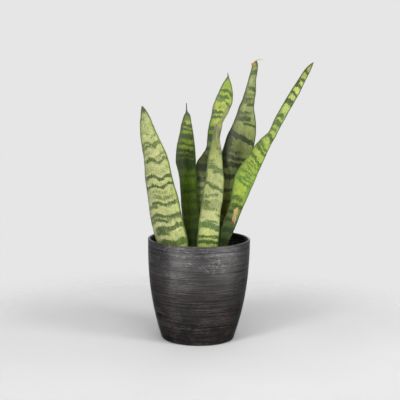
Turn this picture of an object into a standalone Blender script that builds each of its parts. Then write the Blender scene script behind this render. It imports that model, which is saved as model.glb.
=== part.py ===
"""Snake plant standing in its nursery pot inside a round brushed-metal planter.

Origin: centre of the planter's flat underside. +Z is up, -Y is the front and +X the right.
Lengths are given in millimetres and turned into metres where meshes are made.
"""

import math

import bmesh
import bpy
from mathutils import Vector

MM = 0.001
GAP = 0.3  # clearance left between touching pieces

# Planter: a turned shell that narrows towards its foot.
PLANTER_HEIGHT = 126.0
PLANTER_RADIUS = 63.5
PLANTER_TAPER = 18.5  # how much the radius shrinks from lip to foot
PLANTER_CURVE = 2.35  # power of that shrinking: the wall is nearly upright at the lip
PLANTER_WALL = 1.6
PLANTER_FLOOR = 2.0
PLANTER_FOOT_ROUND = 2.5
LIP_WIDTH = 2.6
LIP_HEIGHT = 3.0
PLANTER_STEPS = 64

# Nursery pot: thin tapered plastic with a deeper rim band and a raised, drained floor.
POT_BASE_Z = PLANTER_FLOOR + GAP
POT_RIM_Z = 95.5
POT_BASE_RADIUS = 40.0
POT_BODY_RADIUS = 52.6
POT_BAND_RADIUS = 54.6
POT_LIP_RADIUS = 56.8
POT_BAND_HEIGHT = 9.0
POT_WALL = 1.0
POT_FLOOR_RAISED = 2.0
POT_FOOT_WIDTH = 4.0
DRAIN_HOLES = 6
DRAIN_RADIUS = 3.5
DRAIN_CIRCLE = 28.0
POT_STEPS = 48

# Potting mix: fills the nursery pot, slightly heaped towards the leaves.
MIX_EDGE_Z = 85.5
MIX_CROWN_Z = 88.5

# Rhizome: a thick underground stem with a flat-topped crown under each group of leaves.
CROWN_TOP_Z = 61.0
RHIZOME_PATH = ((-31, -5, 47, 5), (-20, -7, 50, 9), (0, 1, 50, 10), (19, 1, 50, 9.5), (32, 3, 45, 5))
CROWNS = ((-19, -8, 10.5), (0, 0.5, 15), (19, 0.5, 13.5))  # x, y, radius
CROWN_FOOT_Z = 48.0
ROOT_RADIUS = 1.6
ROOT_TIP_RADIUS = 0.8
ROOTS = (  # where each root leaves the rhizome and where it ends
    ((-24, -8, 46), (-30, -16, 16)),
    ((-14, -2, 46), (-20, 24, 12)),
    ((-4, -4, 46), (-4, -32, 12)),
    ((5, 5, 46), (6, 30, 16)),
    ((15, -3, 46), (25, -22, 12)),
    ((24, 3, 44), (30, 11, 16)),
)
ROOT_SAG = 6.0  # how far a root bows outwards between its ends

# Leaves: one row per station up the blade.
# height, x, y, width, facing (degrees, + turns the front towards +X), channel, thickness
# A positive channel means that the margins stand forward of the midline.
LEAF_BASE_Z = CROWN_TOP_Z + GAP
LEAVES = {
    "leaf_front_left": (
        (LEAF_BASE_Z, -19, -8, 15, -15, -2.0, 4.6),
        (74, -21.5, -9.5, 20, -15, -3.0, 4.6),
        (90, -25.5, -11.5, 28.2, -17, -3.6, 4.2),
        (107, -29.5, -13, 35.6, -21, -3.8, 3.8),
        (125, -34.6, -13.5, 43.8, -25, -3.6, 3.4),
        (150, -41.2, -14.2, 44, -25, -3.4, 3.0),
        (175, -45.4, -14.8, 42, -24, -3.0, 2.8),
        (200, -50.8, -15.5, 37, -22, -2.6, 2.6),
        (224, -54.1, -16.2, 32.2, -20, -2.2, 2.4),
        (248, -61.4, -16.8, 24.6, -18, -1.6, 2.2),
        (265, -65.6, -17.4, 18, -18, -1.0, 1.9),
        (278.5, -68.2, -17.7, 11.2, -18, -0.6, 1.6),
        (285, -69.7, -17.8, 6.2, -18, -0.2, 1.2),
        (289.8, -71.2, -18, 0.9, -18, 0.0, 0.8),
    ),
    "leaf_dark_left": (
        (LEAF_BASE_Z, -6, 1.5, 13, 12, 2.2, 4.4),
        (90, -6.4, 2.3, 14.2, 15, 2.4, 4.0),
        (123, -7, 3, 16, 26, 2.4, 3.4),
        (135, -8.1, 3.4, 18.8, 28, 2.3, 3.2),
        (148, -10.4, 3.7, 23.4, 28, 2.3, 3.0),
        (173, -13.6, 4.5, 23, 28, 2.2, 2.8),
        (198, -14.9, 5.2, 24.4, 28, 2.1, 2.7),
        (210, -16.6, 5.6, 25.6, 28, 2.0, 2.6),
        (222, -18.4, 5.9, 28, 28, 1.9, 2.5),
        (235, -18.5, 6.3, 26.6, 28, 1.6, 2.4),
        (248, -17.9, 6.6, 22.4, 28, 1.3, 2.2),
        (260, -17.7, 7, 17.6, 28, 1.0, 2.0),
        (272, -17.4, 7.4, 11.8, 28, 0.6, 1.7),
        (278.5, -17.1, 7.6, 8, 28, 0.4, 1.4),
        (282.5, -17.6, 7.7, 2.6, 28, 0.1, 1.1),
        (293, -17.9, 8, 0.9, 28, 0.0, 0.7),
    ),
    "leaf_tall_centre": (
        (LEAF_BASE_Z, 4, 8.5, 13, -8, 2.2, 4.4),
        (90, 6, 9.5, 16, -10, 2.6, 4.2),
        (121.5, 8.1, 11, 20.8, -18, 3.0, 3.6),
        (147, 9, 11.7, 28.2, -20, 3.2, 3.2),
        (172, 9.5, 12.3, 32, -20, 3.2, 2.9),
        (197, 10, 13, 34.4, -18, 3.0, 2.8),
        (216, 10.7, 13.5, 31, -4, 2.8, 2.7),
        (225, 12.4, 13.7, 25.8, 18, 2.4, 2.7),
        (228.5, 13.2, 13.8, 23.8, 23, 2.2, 2.7),
        (232.5, 14.2, 13.9, 22, 28, 2.0, 2.6),
        (239, 14.8, 14.2, 19.4, 36, 1.8, 2.6),
        (248, 15.1, 14.5, 20.2, 40, 1.8, 2.5),
        (260, 16.7, 15, 20, 34, 2.0, 2.4),
        (272, 20, 15.6, 20.2, 26, 2.2, 2.3),
        (284.5, 24.3, 16.1, 23.8, 20, 2.3, 2.2),
        (291, 26.6, 16.3, 23.6, 18, 2.2, 2.1),
        (303, 29.9, 16.9, 20, 16, 1.6, 1.9),
        (315.5, 31.7, 17.4, 12.4, 14, 0.8, 1.6),
        (321.5, 32.5, 17.6, 6.4, 14, 0.4, 1.3),
        (326.5, 33, 17.8, 1.8, 14, 0.1, 1.0),
        (330.2, 32.4, 18, 0.8, 14, 0.0, 0.7),
    ),
    "leaf_front_centre": (
        (LEAF_BASE_Z, 3, -7, 14.4, 8, -1.6, 4.4),
        (74, 5, -9.5, 17.6, 8, -1.8, 4.4),
        (90, 7, -14.5, 21.2, 10, -2.0, 4.0),
        (105, 9, -18, 24.4, 13, -2.0, 3.8),
        (120, 10.8, -20, 27.4, 16, -2.0, 3.5),
        (139.5, 12.4, -19, 27.8, 18, -2.0, 3.2),
        (152, 13.1, -18.3, 27.2, 18, -1.9, 3.0),
        (164, 14.1, -17.6, 26.2, 18, -1.8, 2.9),
        (176.5, 16.2, -17, 26.8, 18, -1.8, 2.8),
        (188.5, 17, -16.3, 26.4, 18, -1.7, 2.7),
        (201, 18.7, -15.7, 24, 18, -1.5, 2.6),
        (213, 18.3, -15, 21.2, 18, -1.3, 2.5),
        (225, 18.5, -14.4, 19, 18, -1.1, 2.4),
        (237.5, 18.8, -13.7, 15.4, 18, -0.8, 2.2),
        (249.5, 18.8, -13, 10.4, 18, -0.5, 2.0),
        (256, 18.9, -12.7, 8.6, 18, -0.3, 1.8),
        (262, 19.7, -12.4, 5, 18, -0.2, 1.5),
        (266, 19.4, -12.2, 3, 18, 0.0, 1.2),
        (269, 19.1, -12, 1.2, 18, 0.0, 0.8),
    ),
    "leaf_tall_rear": (
        (LEAF_BASE_Z, 19, 7, 13, -15, 2.2, 4.4),
        (74, 21.5, 9, 13.6, -16, 2.3, 4.2),
        (90, 25, 11.5, 14.2, -20, 2.4, 4.0),
        (107, 28, 13.5, 15, -24, 2.4, 3.8),
        (121.5, 31, 15, 16.6, -28, 2.6, 3.6),
        (134, 32.4, 16.2, 20.2, -30, 2.8, 3.4),
        (146.5, 33.6, 17.4, 23.8, -30, 3.0, 3.2),
        (171.5, 35.2, 19.9, 27.4, -30, 3.4, 3.0),
        (196.5, 38.3, 22.3, 33, -30, 3.6, 2.9),
        (215.5, 41.8, 24.2, 39.4, -30, 3.8, 2.8),
        (234, 47.6, 26, 41, -30, 3.6, 2.7),
        (247, 51.5, 27.1, 41, -30, 3.2, 2.6),
        (259.5, 54.7, 28.3, 35.8, -30, 2.8, 2.5),
        (272, 56.4, 29.4, 30.2, -30, 2.4, 2.4),
        (284.5, 57.4, 30.5, 22.8, -30, 2.0, 2.3),
        (297, 60, 31.7, 17.8, -30, 1.8, 2.2),
        (309.5, 62.5, 32.8, 15, -30, 1.6, 2.1),
        (321.5, 63.8, 34, 11.2, -30, 1.2, 2.0),
        (334, 66.5, 35.1, 9.4, -30, 0.9, 1.8),
        (340.5, 67.1, 35.7, 8.4, -30, 0.7, 1.5),
        (344, 65.5, 36, 9.4, -30, 0.4, 1.2),
    ),
    "leaf_leaning_right": (
        (LEAF_BASE_Z, 18, -5.5, 13, 15, 2.2, 4.4),
        (74, 20, -5.5, 13.6, 16, 2.2, 4.2),
        (90, 23, -5.2, 13.2, 20, 2.2, 4.0),
        (107, 27, -5, 13, 26, 2.2, 3.8),
        (118.5, 28.7, -5, 13.4, 29, 2.2, 3.6),
        (131, 32.3, -4.8, 17.2, 32, 2.2, 3.4),
        (143.5, 36.2, -4.4, 19.8, 32, 2.3, 3.3),
        (156, 40.6, -4, 20.2, 32, 2.4, 3.2),
        (168.5, 45, -3.6, 21.2, 32, 2.5, 3.0),
        (181, 48.5, -3.2, 25.6, 32, 2.6, 2.9),
        (193.5, 51.9, -2.8, 29.2, 32, 2.7, 2.8),
        (203, 55.1, -2.5, 31.8, 32, 2.6, 2.7),
        (212.5, 59.7, -2.2, 30.6, 32, 2.4, 2.6),
        (224.5, 66.4, -1.9, 26.4, 32, 2.2, 2.5),
        (237, 72.9, -1.5, 24.2, 32, 2.0, 2.4),
        (246, 78.8, -1.2, 20.2, 32, 1.8, 2.4),
        (255.5, 86.1, -0.9, 14.2, 32, 1.6, 2.3),
        (262, 89.7, -0.7, 13, 32, 1.6, 2.2),
        (274, 95, -0.3, 14.6, 32, 1.7, 2.2),
        (292.5, 105.1, 0.3, 13.8, 32, 1.6, 2.1),
        (311, 115.6, 0.9, 13.6, 32, 1.4, 2.0),
        (323.5, 122.6, 1.3, 11, 32, 1.0, 1.8),
        (335.5, 129.3, 1.7, 8.6, 32, 0.7, 1.5),
        (341.5, 133.5, 1.9, 5, 32, 0.4, 1.2),
        (344.7, 136.3, 2, 1, 32, 0.0, 0.8),
    ),
}
SECTION_POINTS = 12  # points round a leaf's section
RINGS_PER_SPAN = 2
SLOT_TOP_Z = 107.0  # leaf slots in the mix are cut up to this height, clear of its surface

MATERIALS = {  # colour, roughness, metallic
    "planter": ((0.055, 0.056, 0.06), 0.42, 0.8),
    "grow_pot": ((0.018, 0.018, 0.019), 0.5, 0.0),
    "potting_mix": ((0.055, 0.036, 0.024), 0.95, 0.0),
    "rhizome": ((0.58, 0.42, 0.22), 0.7, 0.0),
    "leaf_front_left": ((0.34, 0.46, 0.17), 0.42, 0.0),
    "leaf_dark_left": ((0.09, 0.19, 0.04), 0.42, 0.0),
    "leaf_tall_centre": ((0.25, 0.38, 0.08), 0.42, 0.0),
    "leaf_front_centre": ((0.38, 0.48, 0.2), 0.42, 0.0),
    "leaf_tall_rear": ((0.13, 0.2, 0.07), 0.42, 0.0),
    "leaf_leaning_right": ((0.25, 0.42, 0.05), 0.42, 0.0),
}


def clear_scene():
    for obj in list(bpy.data.objects):
        bpy.data.objects.remove(obj, do_unlink=True)


def new_collection(name):
    collection = bpy.data.collections.new(name)
    bpy.context.scene.collection.children.link(collection)
    return collection


def new_material(name):
    colour, roughness, metallic = MATERIALS[name]
    material = bpy.data.materials.new(name)
    material.use_nodes = True
    shader = material.node_tree.nodes["Principled BSDF"]
    shader.inputs["Base Color"].default_value = (*colour, 1.0)
    shader.inputs["Roughness"].default_value = roughness
    shader.inputs["Metallic"].default_value = metallic
    material.diffuse_color = (*colour, 1.0)
    return material


def add_lift():
    """The empty that carries everything that lifts out of the planter."""
    lift = bpy.data.objects.new("plant_lift", None)
    lift.location = (0, 0, POT_BASE_Z * MM)
    PARTS.objects.link(lift)
    return lift


def add_part(name, mesh, parent=None):
    """A finished sub-part, in the object's own collection and with its own material."""
    obj = bpy.data.objects.new(name, mesh)
    PARTS.objects.link(obj)
    if parent is not None:
        obj.parent = parent
        obj.location = -parent.location
    mesh.materials.append(new_material(name))
    for polygon in mesh.polygons:
        polygon.use_smooth = True
    return obj


def add_cutter(name, mesh):
    obj = bpy.data.objects.new(name, mesh)
    CUTTERS.objects.link(obj)
    obj.hide_render = True
    obj.display_type = "WIRE"
    return obj


def boolean(target, tool, operation="DIFFERENCE"):
    modifier = target.modifiers.new(tool.name, "BOOLEAN")
    modifier.operation = operation
    modifier.solver = "EXACT"
    modifier.object = tool


def mesh_from(bm, name):
    mesh = bpy.data.meshes.new(name)
    bm.to_mesh(mesh)
    bm.free()
    return mesh


def profile_mesh(name, points):
    """An open outline of (radius, height) points in the XZ plane, for a Screw to turn."""
    bm = bmesh.new()
    corners = [bm.verts.new((radius * MM, 0, height * MM)) for radius, height in points]
    for first, second in zip(corners, corners[1:]):
        bm.edges.new((first, second))
    return mesh_from(bm, name)


def turn(obj, steps):
    screw = obj.modifiers.new("turn", "SCREW")
    screw.axis = "Z"
    screw.steps = screw.render_steps = steps
    screw.use_merge_vertices = True
    screw.merge_threshold = 0.00001


def cylinder_mesh(name, radius, low, high, x=0.0, y=0.0, segments=24):
    bm = bmesh.new()
    bmesh.ops.create_cone(
        bm, cap_ends=True, segments=segments, radius1=radius * MM, radius2=radius * MM,
        depth=(high - low) * MM,
    )
    bmesh.ops.translate(bm, vec=Vector((x, y, (low + high) / 2)) * MM, verts=bm.verts)
    return mesh_from(bm, name)


def tube_mesh(name, points, radii):
    """A round tube through the points, with its own radius at each, capped at both ends."""
    curve = bpy.data.curves.new(name, "CURVE")
    curve.dimensions = "3D"
    curve.bevel_depth = MM
    curve.bevel_resolution = 2
    curve.resolution_u = 4
    curve.use_fill_caps = True
    spline = curve.splines.new("BEZIER")
    spline.bezier_points.add(len(points) - 1)
    for knot, point, radius in zip(spline.bezier_points, points, radii):
        knot.co = Vector(point) * MM
        knot.radius = radius
        knot.handle_left_type = knot.handle_right_type = "AUTO"
    holder = bpy.data.objects.new(name, curve)
    CUTTERS.objects.link(holder)
    graph = bpy.context.evaluated_depsgraph_get()
    mesh = bpy.data.meshes.new_from_object(holder.evaluated_get(graph))
    mesh.name = name
    bpy.data.objects.remove(holder, do_unlink=True)
    bpy.data.curves.remove(curve)
    bm = bmesh.new()
    bm.from_mesh(mesh)
    bmesh.ops.remove_doubles(bm, verts=bm.verts, dist=MM * 0.01)
    bmesh.ops.recalc_face_normals(bm, faces=bm.faces)
    bm.to_mesh(mesh)
    bm.free()
    return mesh


# ---- leaves ----


def smooth_between(rows, height):
    """Every value of the station table at a height, on a smooth curve through the rows."""
    index = 0
    while index < len(rows) - 2 and rows[index + 1][0] < height:
        index += 1
    low, high = rows[index], rows[index + 1]
    span = high[0] - low[0]
    share = (height - low[0]) / span

    def slope(row, column):
        before = rows[max(row - 1, 0)]
        after = rows[min(row + 1, len(rows) - 1)]
        return (after[column] - before[column]) / (after[0] - before[0])

    values = [height]
    for column in range(1, len(low)):
        first, last = slope(index, column) * span, slope(index + 1, column) * span
        rise = high[column] - low[column]
        values.append(
            low[column]
            + first * share
            + (3 * rise - 2 * first - last) * share**2
            + (first + last - 2 * rise) * share**3
        )
    return values


def leaf_section(rows, height, grow):
    """Points round the blade at a height: a thin lens bent into a shallow channel."""
    reach = 0.5
    _, x, y, width, facing, channel, thickness = smooth_between(rows, height)
    below = smooth_between(rows, max(height - reach, rows[0][0]))
    above = smooth_between(rows, min(height + reach, rows[-1][0]))
    along = Vector((above[1] - below[1], above[2] - below[2], above[0] - below[0]))
    if height == rows[0][0]:
        along = Vector((0, 0, 1))
    along.normalize()
    turned = math.radians(facing)
    across = Vector((math.cos(turned), math.sin(turned), 0))
    across = (across - along * across.dot(along)).normalized()
    front = across.cross(along)
    centre = Vector((x, y, height))
    half_width = width / 2 + grow
    half_thickness = thickness / 2 + grow
    points = []
    for step in range(SECTION_POINTS):
        angle = 2 * math.pi * step / SECTION_POINTS
        side = math.cos(angle)
        depth = channel * (side**2 - 1 / 3) + half_thickness * math.sin(angle)
        points.append(centre + across * side * half_width + front * depth)
    return points


def leaf_mesh(name, rows, top=None, grow=0.0):
    """The blade as one skin through its sections. grow thickens it all over, for a cutter."""
    heights = []
    for low, high in zip(rows, rows[1:]):
        for step in range(RINGS_PER_SPAN):
            heights.append(low[0] + (high[0] - low[0]) * step / RINGS_PER_SPAN)
    heights.append(rows[-1][0])
    if top is not None:
        heights = [height for height in heights if height <= top]
    bm = bmesh.new()
    rings = []
    for height in heights:
        rings.append([bm.verts.new(p * MM) for p in leaf_section(rows, height, grow)])
    for vertex in rings[0]:
        vertex.co.z -= grow * MM
    for lower, upper in zip(rings, rings[1:]):
        for step in range(SECTION_POINTS):
            after = (step + 1) % SECTION_POINTS
            bm.faces.new((lower[step], lower[after], upper[after], upper[step]))
    bm.faces.new(rings[0])
    bm.faces.new(rings[-1])
    bmesh.ops.recalc_face_normals(bm, faces=bm.faces)
    return mesh_from(bm, name)


# ---- planter, nursery pot and mix ----


def planter_radius(height):
    drop = 1 - height / PLANTER_HEIGHT
    return PLANTER_RADIUS - PLANTER_TAPER * drop**PLANTER_CURVE


def planter_profile():
    """From the middle of the inside floor, up the inner wall, over the lip and down outside."""
    lip_low = PLANTER_HEIGHT - LIP_HEIGHT
    floor_round = 4.0
    points = [(0, PLANTER_FLOOR), (planter_radius(0) - PLANTER_WALL - floor_round, PLANTER_FLOOR)]
    for height in (PLANTER_FLOOR + 1.2, 6, 14, 28, 46, 68, 92, lip_low - 2):
        inset = PLANTER_WALL + max(0.0, 6 - height) * 0.35
        points.append((planter_radius(height) - inset, height))
    points += [
        (PLANTER_RADIUS - LIP_WIDTH, lip_low),
        (PLANTER_RADIUS - LIP_WIDTH, PLANTER_HEIGHT - 0.7),
        (PLANTER_RADIUS - LIP_WIDTH + 0.7, PLANTER_HEIGHT),
        (PLANTER_RADIUS - 0.7, PLANTER_HEIGHT),
        (PLANTER_RADIUS, PLANTER_HEIGHT - 0.7),
    ]
    for height in (116, 104, 90, 75, 60, 46, 33, 21, 11, PLANTER_FOOT_ROUND):
        points.append((planter_radius(height), height))
    for turned in (30, 60, 90):
        angle = math.radians(turned)
        points.append((
            planter_radius(PLANTER_FOOT_ROUND) - PLANTER_FOOT_ROUND * (1 - math.cos(angle)),
            PLANTER_FOOT_ROUND * (1 - math.sin(angle)),
        ))
    points.append((0, 0))
    return points


def pot_radius(height):
    """Outer radius of the nursery pot's tapered body, below its rim band."""
    band_low = POT_RIM_Z - POT_BAND_HEIGHT
    share = (height - POT_BASE_Z) / (band_low - POT_BASE_Z)
    return POT_BASE_RADIUS + (POT_BODY_RADIUS - POT_BASE_RADIUS) * share


def pot_profile():
    """From the middle of the raised floor's top, up inside, over the lip, down to the foot."""
    band_low = POT_RIM_Z - POT_BAND_HEIGHT
    floor_low = POT_BASE_Z + POT_FLOOR_RAISED
    floor_top = floor_low + POT_WALL
    return [
        (0, floor_top),
        (pot_radius(floor_top) - POT_WALL - 1.5, floor_top),
        (pot_radius(floor_top) - POT_WALL, floor_top + 1.5),
        (pot_radius(45) - POT_WALL, 45),
        (POT_BODY_RADIUS - POT_WALL, band_low),
        (POT_BAND_RADIUS - POT_WALL, band_low + 1.5),
        (POT_BAND_RADIUS - POT_WALL + 0.4, POT_RIM_Z - 1),
        (POT_BAND_RADIUS + 0.2, POT_RIM_Z),
        (POT_LIP_RADIUS - 0.6, POT_RIM_Z),
        (POT_LIP_RADIUS, POT_RIM_Z - 0.6),
        (POT_LIP_RADIUS, POT_RIM_Z - 2),
        (POT_LIP_RADIUS - 0.8, POT_RIM_Z - 2),
        (POT_LIP_RADIUS - 1.2, POT_RIM_Z - 1.2),
        (POT_BAND_RADIUS + 0.4, POT_RIM_Z - 1.2),
        (POT_BAND_RADIUS, band_low),
        (POT_BODY_RADIUS, band_low - 1),
        (pot_radius(45), 45),
        (pot_radius(POT_BASE_Z + 1.5), POT_BASE_Z + 1.5),
        (POT_BASE_RADIUS - 1, POT_BASE_Z),
        (POT_BASE_RADIUS - POT_FOOT_WIDTH, POT_BASE_Z),
        (POT_BASE_RADIUS - POT_FOOT_WIDTH - 0.6, floor_low),
        (0, floor_low),
    ]


def mix_profile():
    """From the heaped middle of the surface out to the wall and down to the floor."""
    floor_top = POT_BASE_Z + POT_FLOOR_RAISED + POT_WALL + GAP
    clearance = POT_WALL + GAP
    band_low = POT_RIM_Z - POT_BAND_HEIGHT
    return [
        (0, MIX_CROWN_Z),
        (16, MIX_CROWN_Z - 0.2),
        (30, MIX_CROWN_Z - 1.2),
        (42, MIX_EDGE_Z + 0.4),
        (pot_radius(MIX_EDGE_Z) - clearance - 1.2, MIX_EDGE_Z),
        (pot_radius(MIX_EDGE_Z - 1) - clearance, MIX_EDGE_Z - 1),
        (pot_radius(band_low / 2) - clearance, band_low / 2),
        (pot_radius(floor_top) - clearance, floor_top + 1.5),
        (pot_radius(floor_top) - clearance - 1.8, floor_top),
        (0, floor_top),
    ]


def root_points(start, end):
    middle = (Vector(start) + Vector(end)) / 2
    outwards = Vector((end[0] - start[0], end[1] - start[1], 0)).normalized()
    return (start, middle + outwards * ROOT_SAG, end)


def rhizome_meshes(label, grow):
    """The stem, its crowns and its roots as separate closed meshes, for joining or cutting."""
    stem = tube_mesh(
        label + "_stem", [row[:3] for row in RHIZOME_PATH], [row[3] + grow for row in RHIZOME_PATH]
    )
    meshes = [stem]
    for number, (x, y, radius) in enumerate(CROWNS):
        name = label + "_crown_" + str(number + 1)
        meshes.append(
            cylinder_mesh(name, radius + grow, CROWN_FOOT_Z, CROWN_TOP_Z + grow, x, y, segments=20)
        )
    for number, (start, end) in enumerate(ROOTS):
        name = label + "_root_" + str(number + 1)
        radii = (ROOT_RADIUS + grow, ROOT_RADIUS + grow, ROOT_TIP_RADIUS + grow)
        meshes.append(tube_mesh(name, root_points(start, end), radii))
    return meshes


def build_planter():
    turn(add_part("planter", profile_mesh("planter", planter_profile())), PLANTER_STEPS)


def build_grow_pot():
    pot = add_part("grow_pot", profile_mesh("grow_pot", pot_profile()), LIFT)
    turn(pot, POT_STEPS)
    for number in range(DRAIN_HOLES):
        angle = 2 * math.pi * (number + 0.5) / DRAIN_HOLES
        hole = cylinder_mesh(
            "drain_" + str(number + 1), DRAIN_RADIUS, POT_BASE_Z - 2, POT_BASE_Z + 8,
            DRAIN_CIRCLE * math.cos(angle), DRAIN_CIRCLE * math.sin(angle),
        )
        boolean(pot, add_cutter(hole.name, hole))


def build_rhizome():
    meshes = rhizome_meshes("rhizome", 0.0)
    rhizome = add_part("rhizome", meshes[0], LIFT)
    for mesh in meshes[1:]:
        boolean(rhizome, add_cutter(mesh.name, mesh), "UNION")


def build_mix():
    mix = add_part("potting_mix", profile_mesh("potting_mix", mix_profile()), LIFT)
    turn(mix, POT_STEPS)
    tools = rhizome_meshes("hollow", GAP)
    for name, rows in LEAVES.items():
        tools.append(leaf_mesh("slot_" + name, rows, top=SLOT_TOP_Z, grow=GAP))
    for mesh in tools:
        boolean(mix, add_cutter(mesh.name, mesh))


def build_leaves():
    for name, rows in LEAVES.items():
        add_part(name, leaf_mesh(name, rows), LIFT)


clear_scene()
PARTS = new_collection("snake_plant_in_pot")
CUTTERS = new_collection("cutters")
LIFT = add_lift()
build_planter()
build_grow_pot()
build_rhizome()
build_mix()
build_leaves()
CUTTERS.hide_render = True
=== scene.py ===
"""The looks of the potted snake plant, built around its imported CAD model.

Lengths are in millimetres in the tables and in metres in the meshes. +Z is up and -Y the front.
"""

import math
import random

import bmesh
import bpy
from mathutils import Matrix, Vector, noise


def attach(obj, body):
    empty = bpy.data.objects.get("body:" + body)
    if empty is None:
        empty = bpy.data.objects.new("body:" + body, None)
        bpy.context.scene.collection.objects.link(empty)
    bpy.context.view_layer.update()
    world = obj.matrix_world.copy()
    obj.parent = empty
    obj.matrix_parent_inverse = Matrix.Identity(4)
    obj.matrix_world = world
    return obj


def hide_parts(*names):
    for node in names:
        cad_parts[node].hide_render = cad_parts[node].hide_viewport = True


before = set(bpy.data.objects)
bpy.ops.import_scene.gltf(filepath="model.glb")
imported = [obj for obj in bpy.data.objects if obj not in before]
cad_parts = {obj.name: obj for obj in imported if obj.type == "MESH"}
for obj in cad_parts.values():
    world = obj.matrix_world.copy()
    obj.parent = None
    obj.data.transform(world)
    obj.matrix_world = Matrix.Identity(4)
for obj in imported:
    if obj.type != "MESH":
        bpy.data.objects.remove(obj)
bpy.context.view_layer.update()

MM = 0.001

# Planter and nursery pot, as in the CAD part.
PLANTER_HEIGHT = 126.0
PLANTER_RADIUS = 63.5
PLANTER_TAPER = 18.5
PLANTER_CURVE = 2.35
PLANTER_WALL = 1.6
PLANTER_FLOOR = 2.0
FOOT_ROUND = 2.5
LIP_WIDTH = 2.6
LIP_HEIGHT = 3.0
LIP_ROUND = 0.9
INSIDE_ROUND = 4.0  # between the inside wall and the floor
RING_DROP = 8.0  # the shallow turned groove, from the top
RING_DEPTH = 0.28
RING_WIDTH = 0.7
POT_BASE_Z = 2.3
POT_RIM_Z = 95.5
POT_BASE_RADIUS = 40.0
POT_BODY_RADIUS = 52.6
POT_BAND_RADIUS = 54.6
POT_LIP_RADIUS = 56.8
POT_BAND_HEIGHT = 9.0
POT_WALL = 1.0
POT_FLOOR_RAISED = 2.0
POT_FOOT_WIDTH = 4.0
DRAIN_HOLES = 6
DRAIN_RADIUS = 3.5
DRAIN_CIRCLE = 28.0
MIX_EDGE_Z = 85.5
MIX_CROWN_Z = 88.5
GAP = 0.3
LEAF_BASE_Z = 61.3

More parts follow.
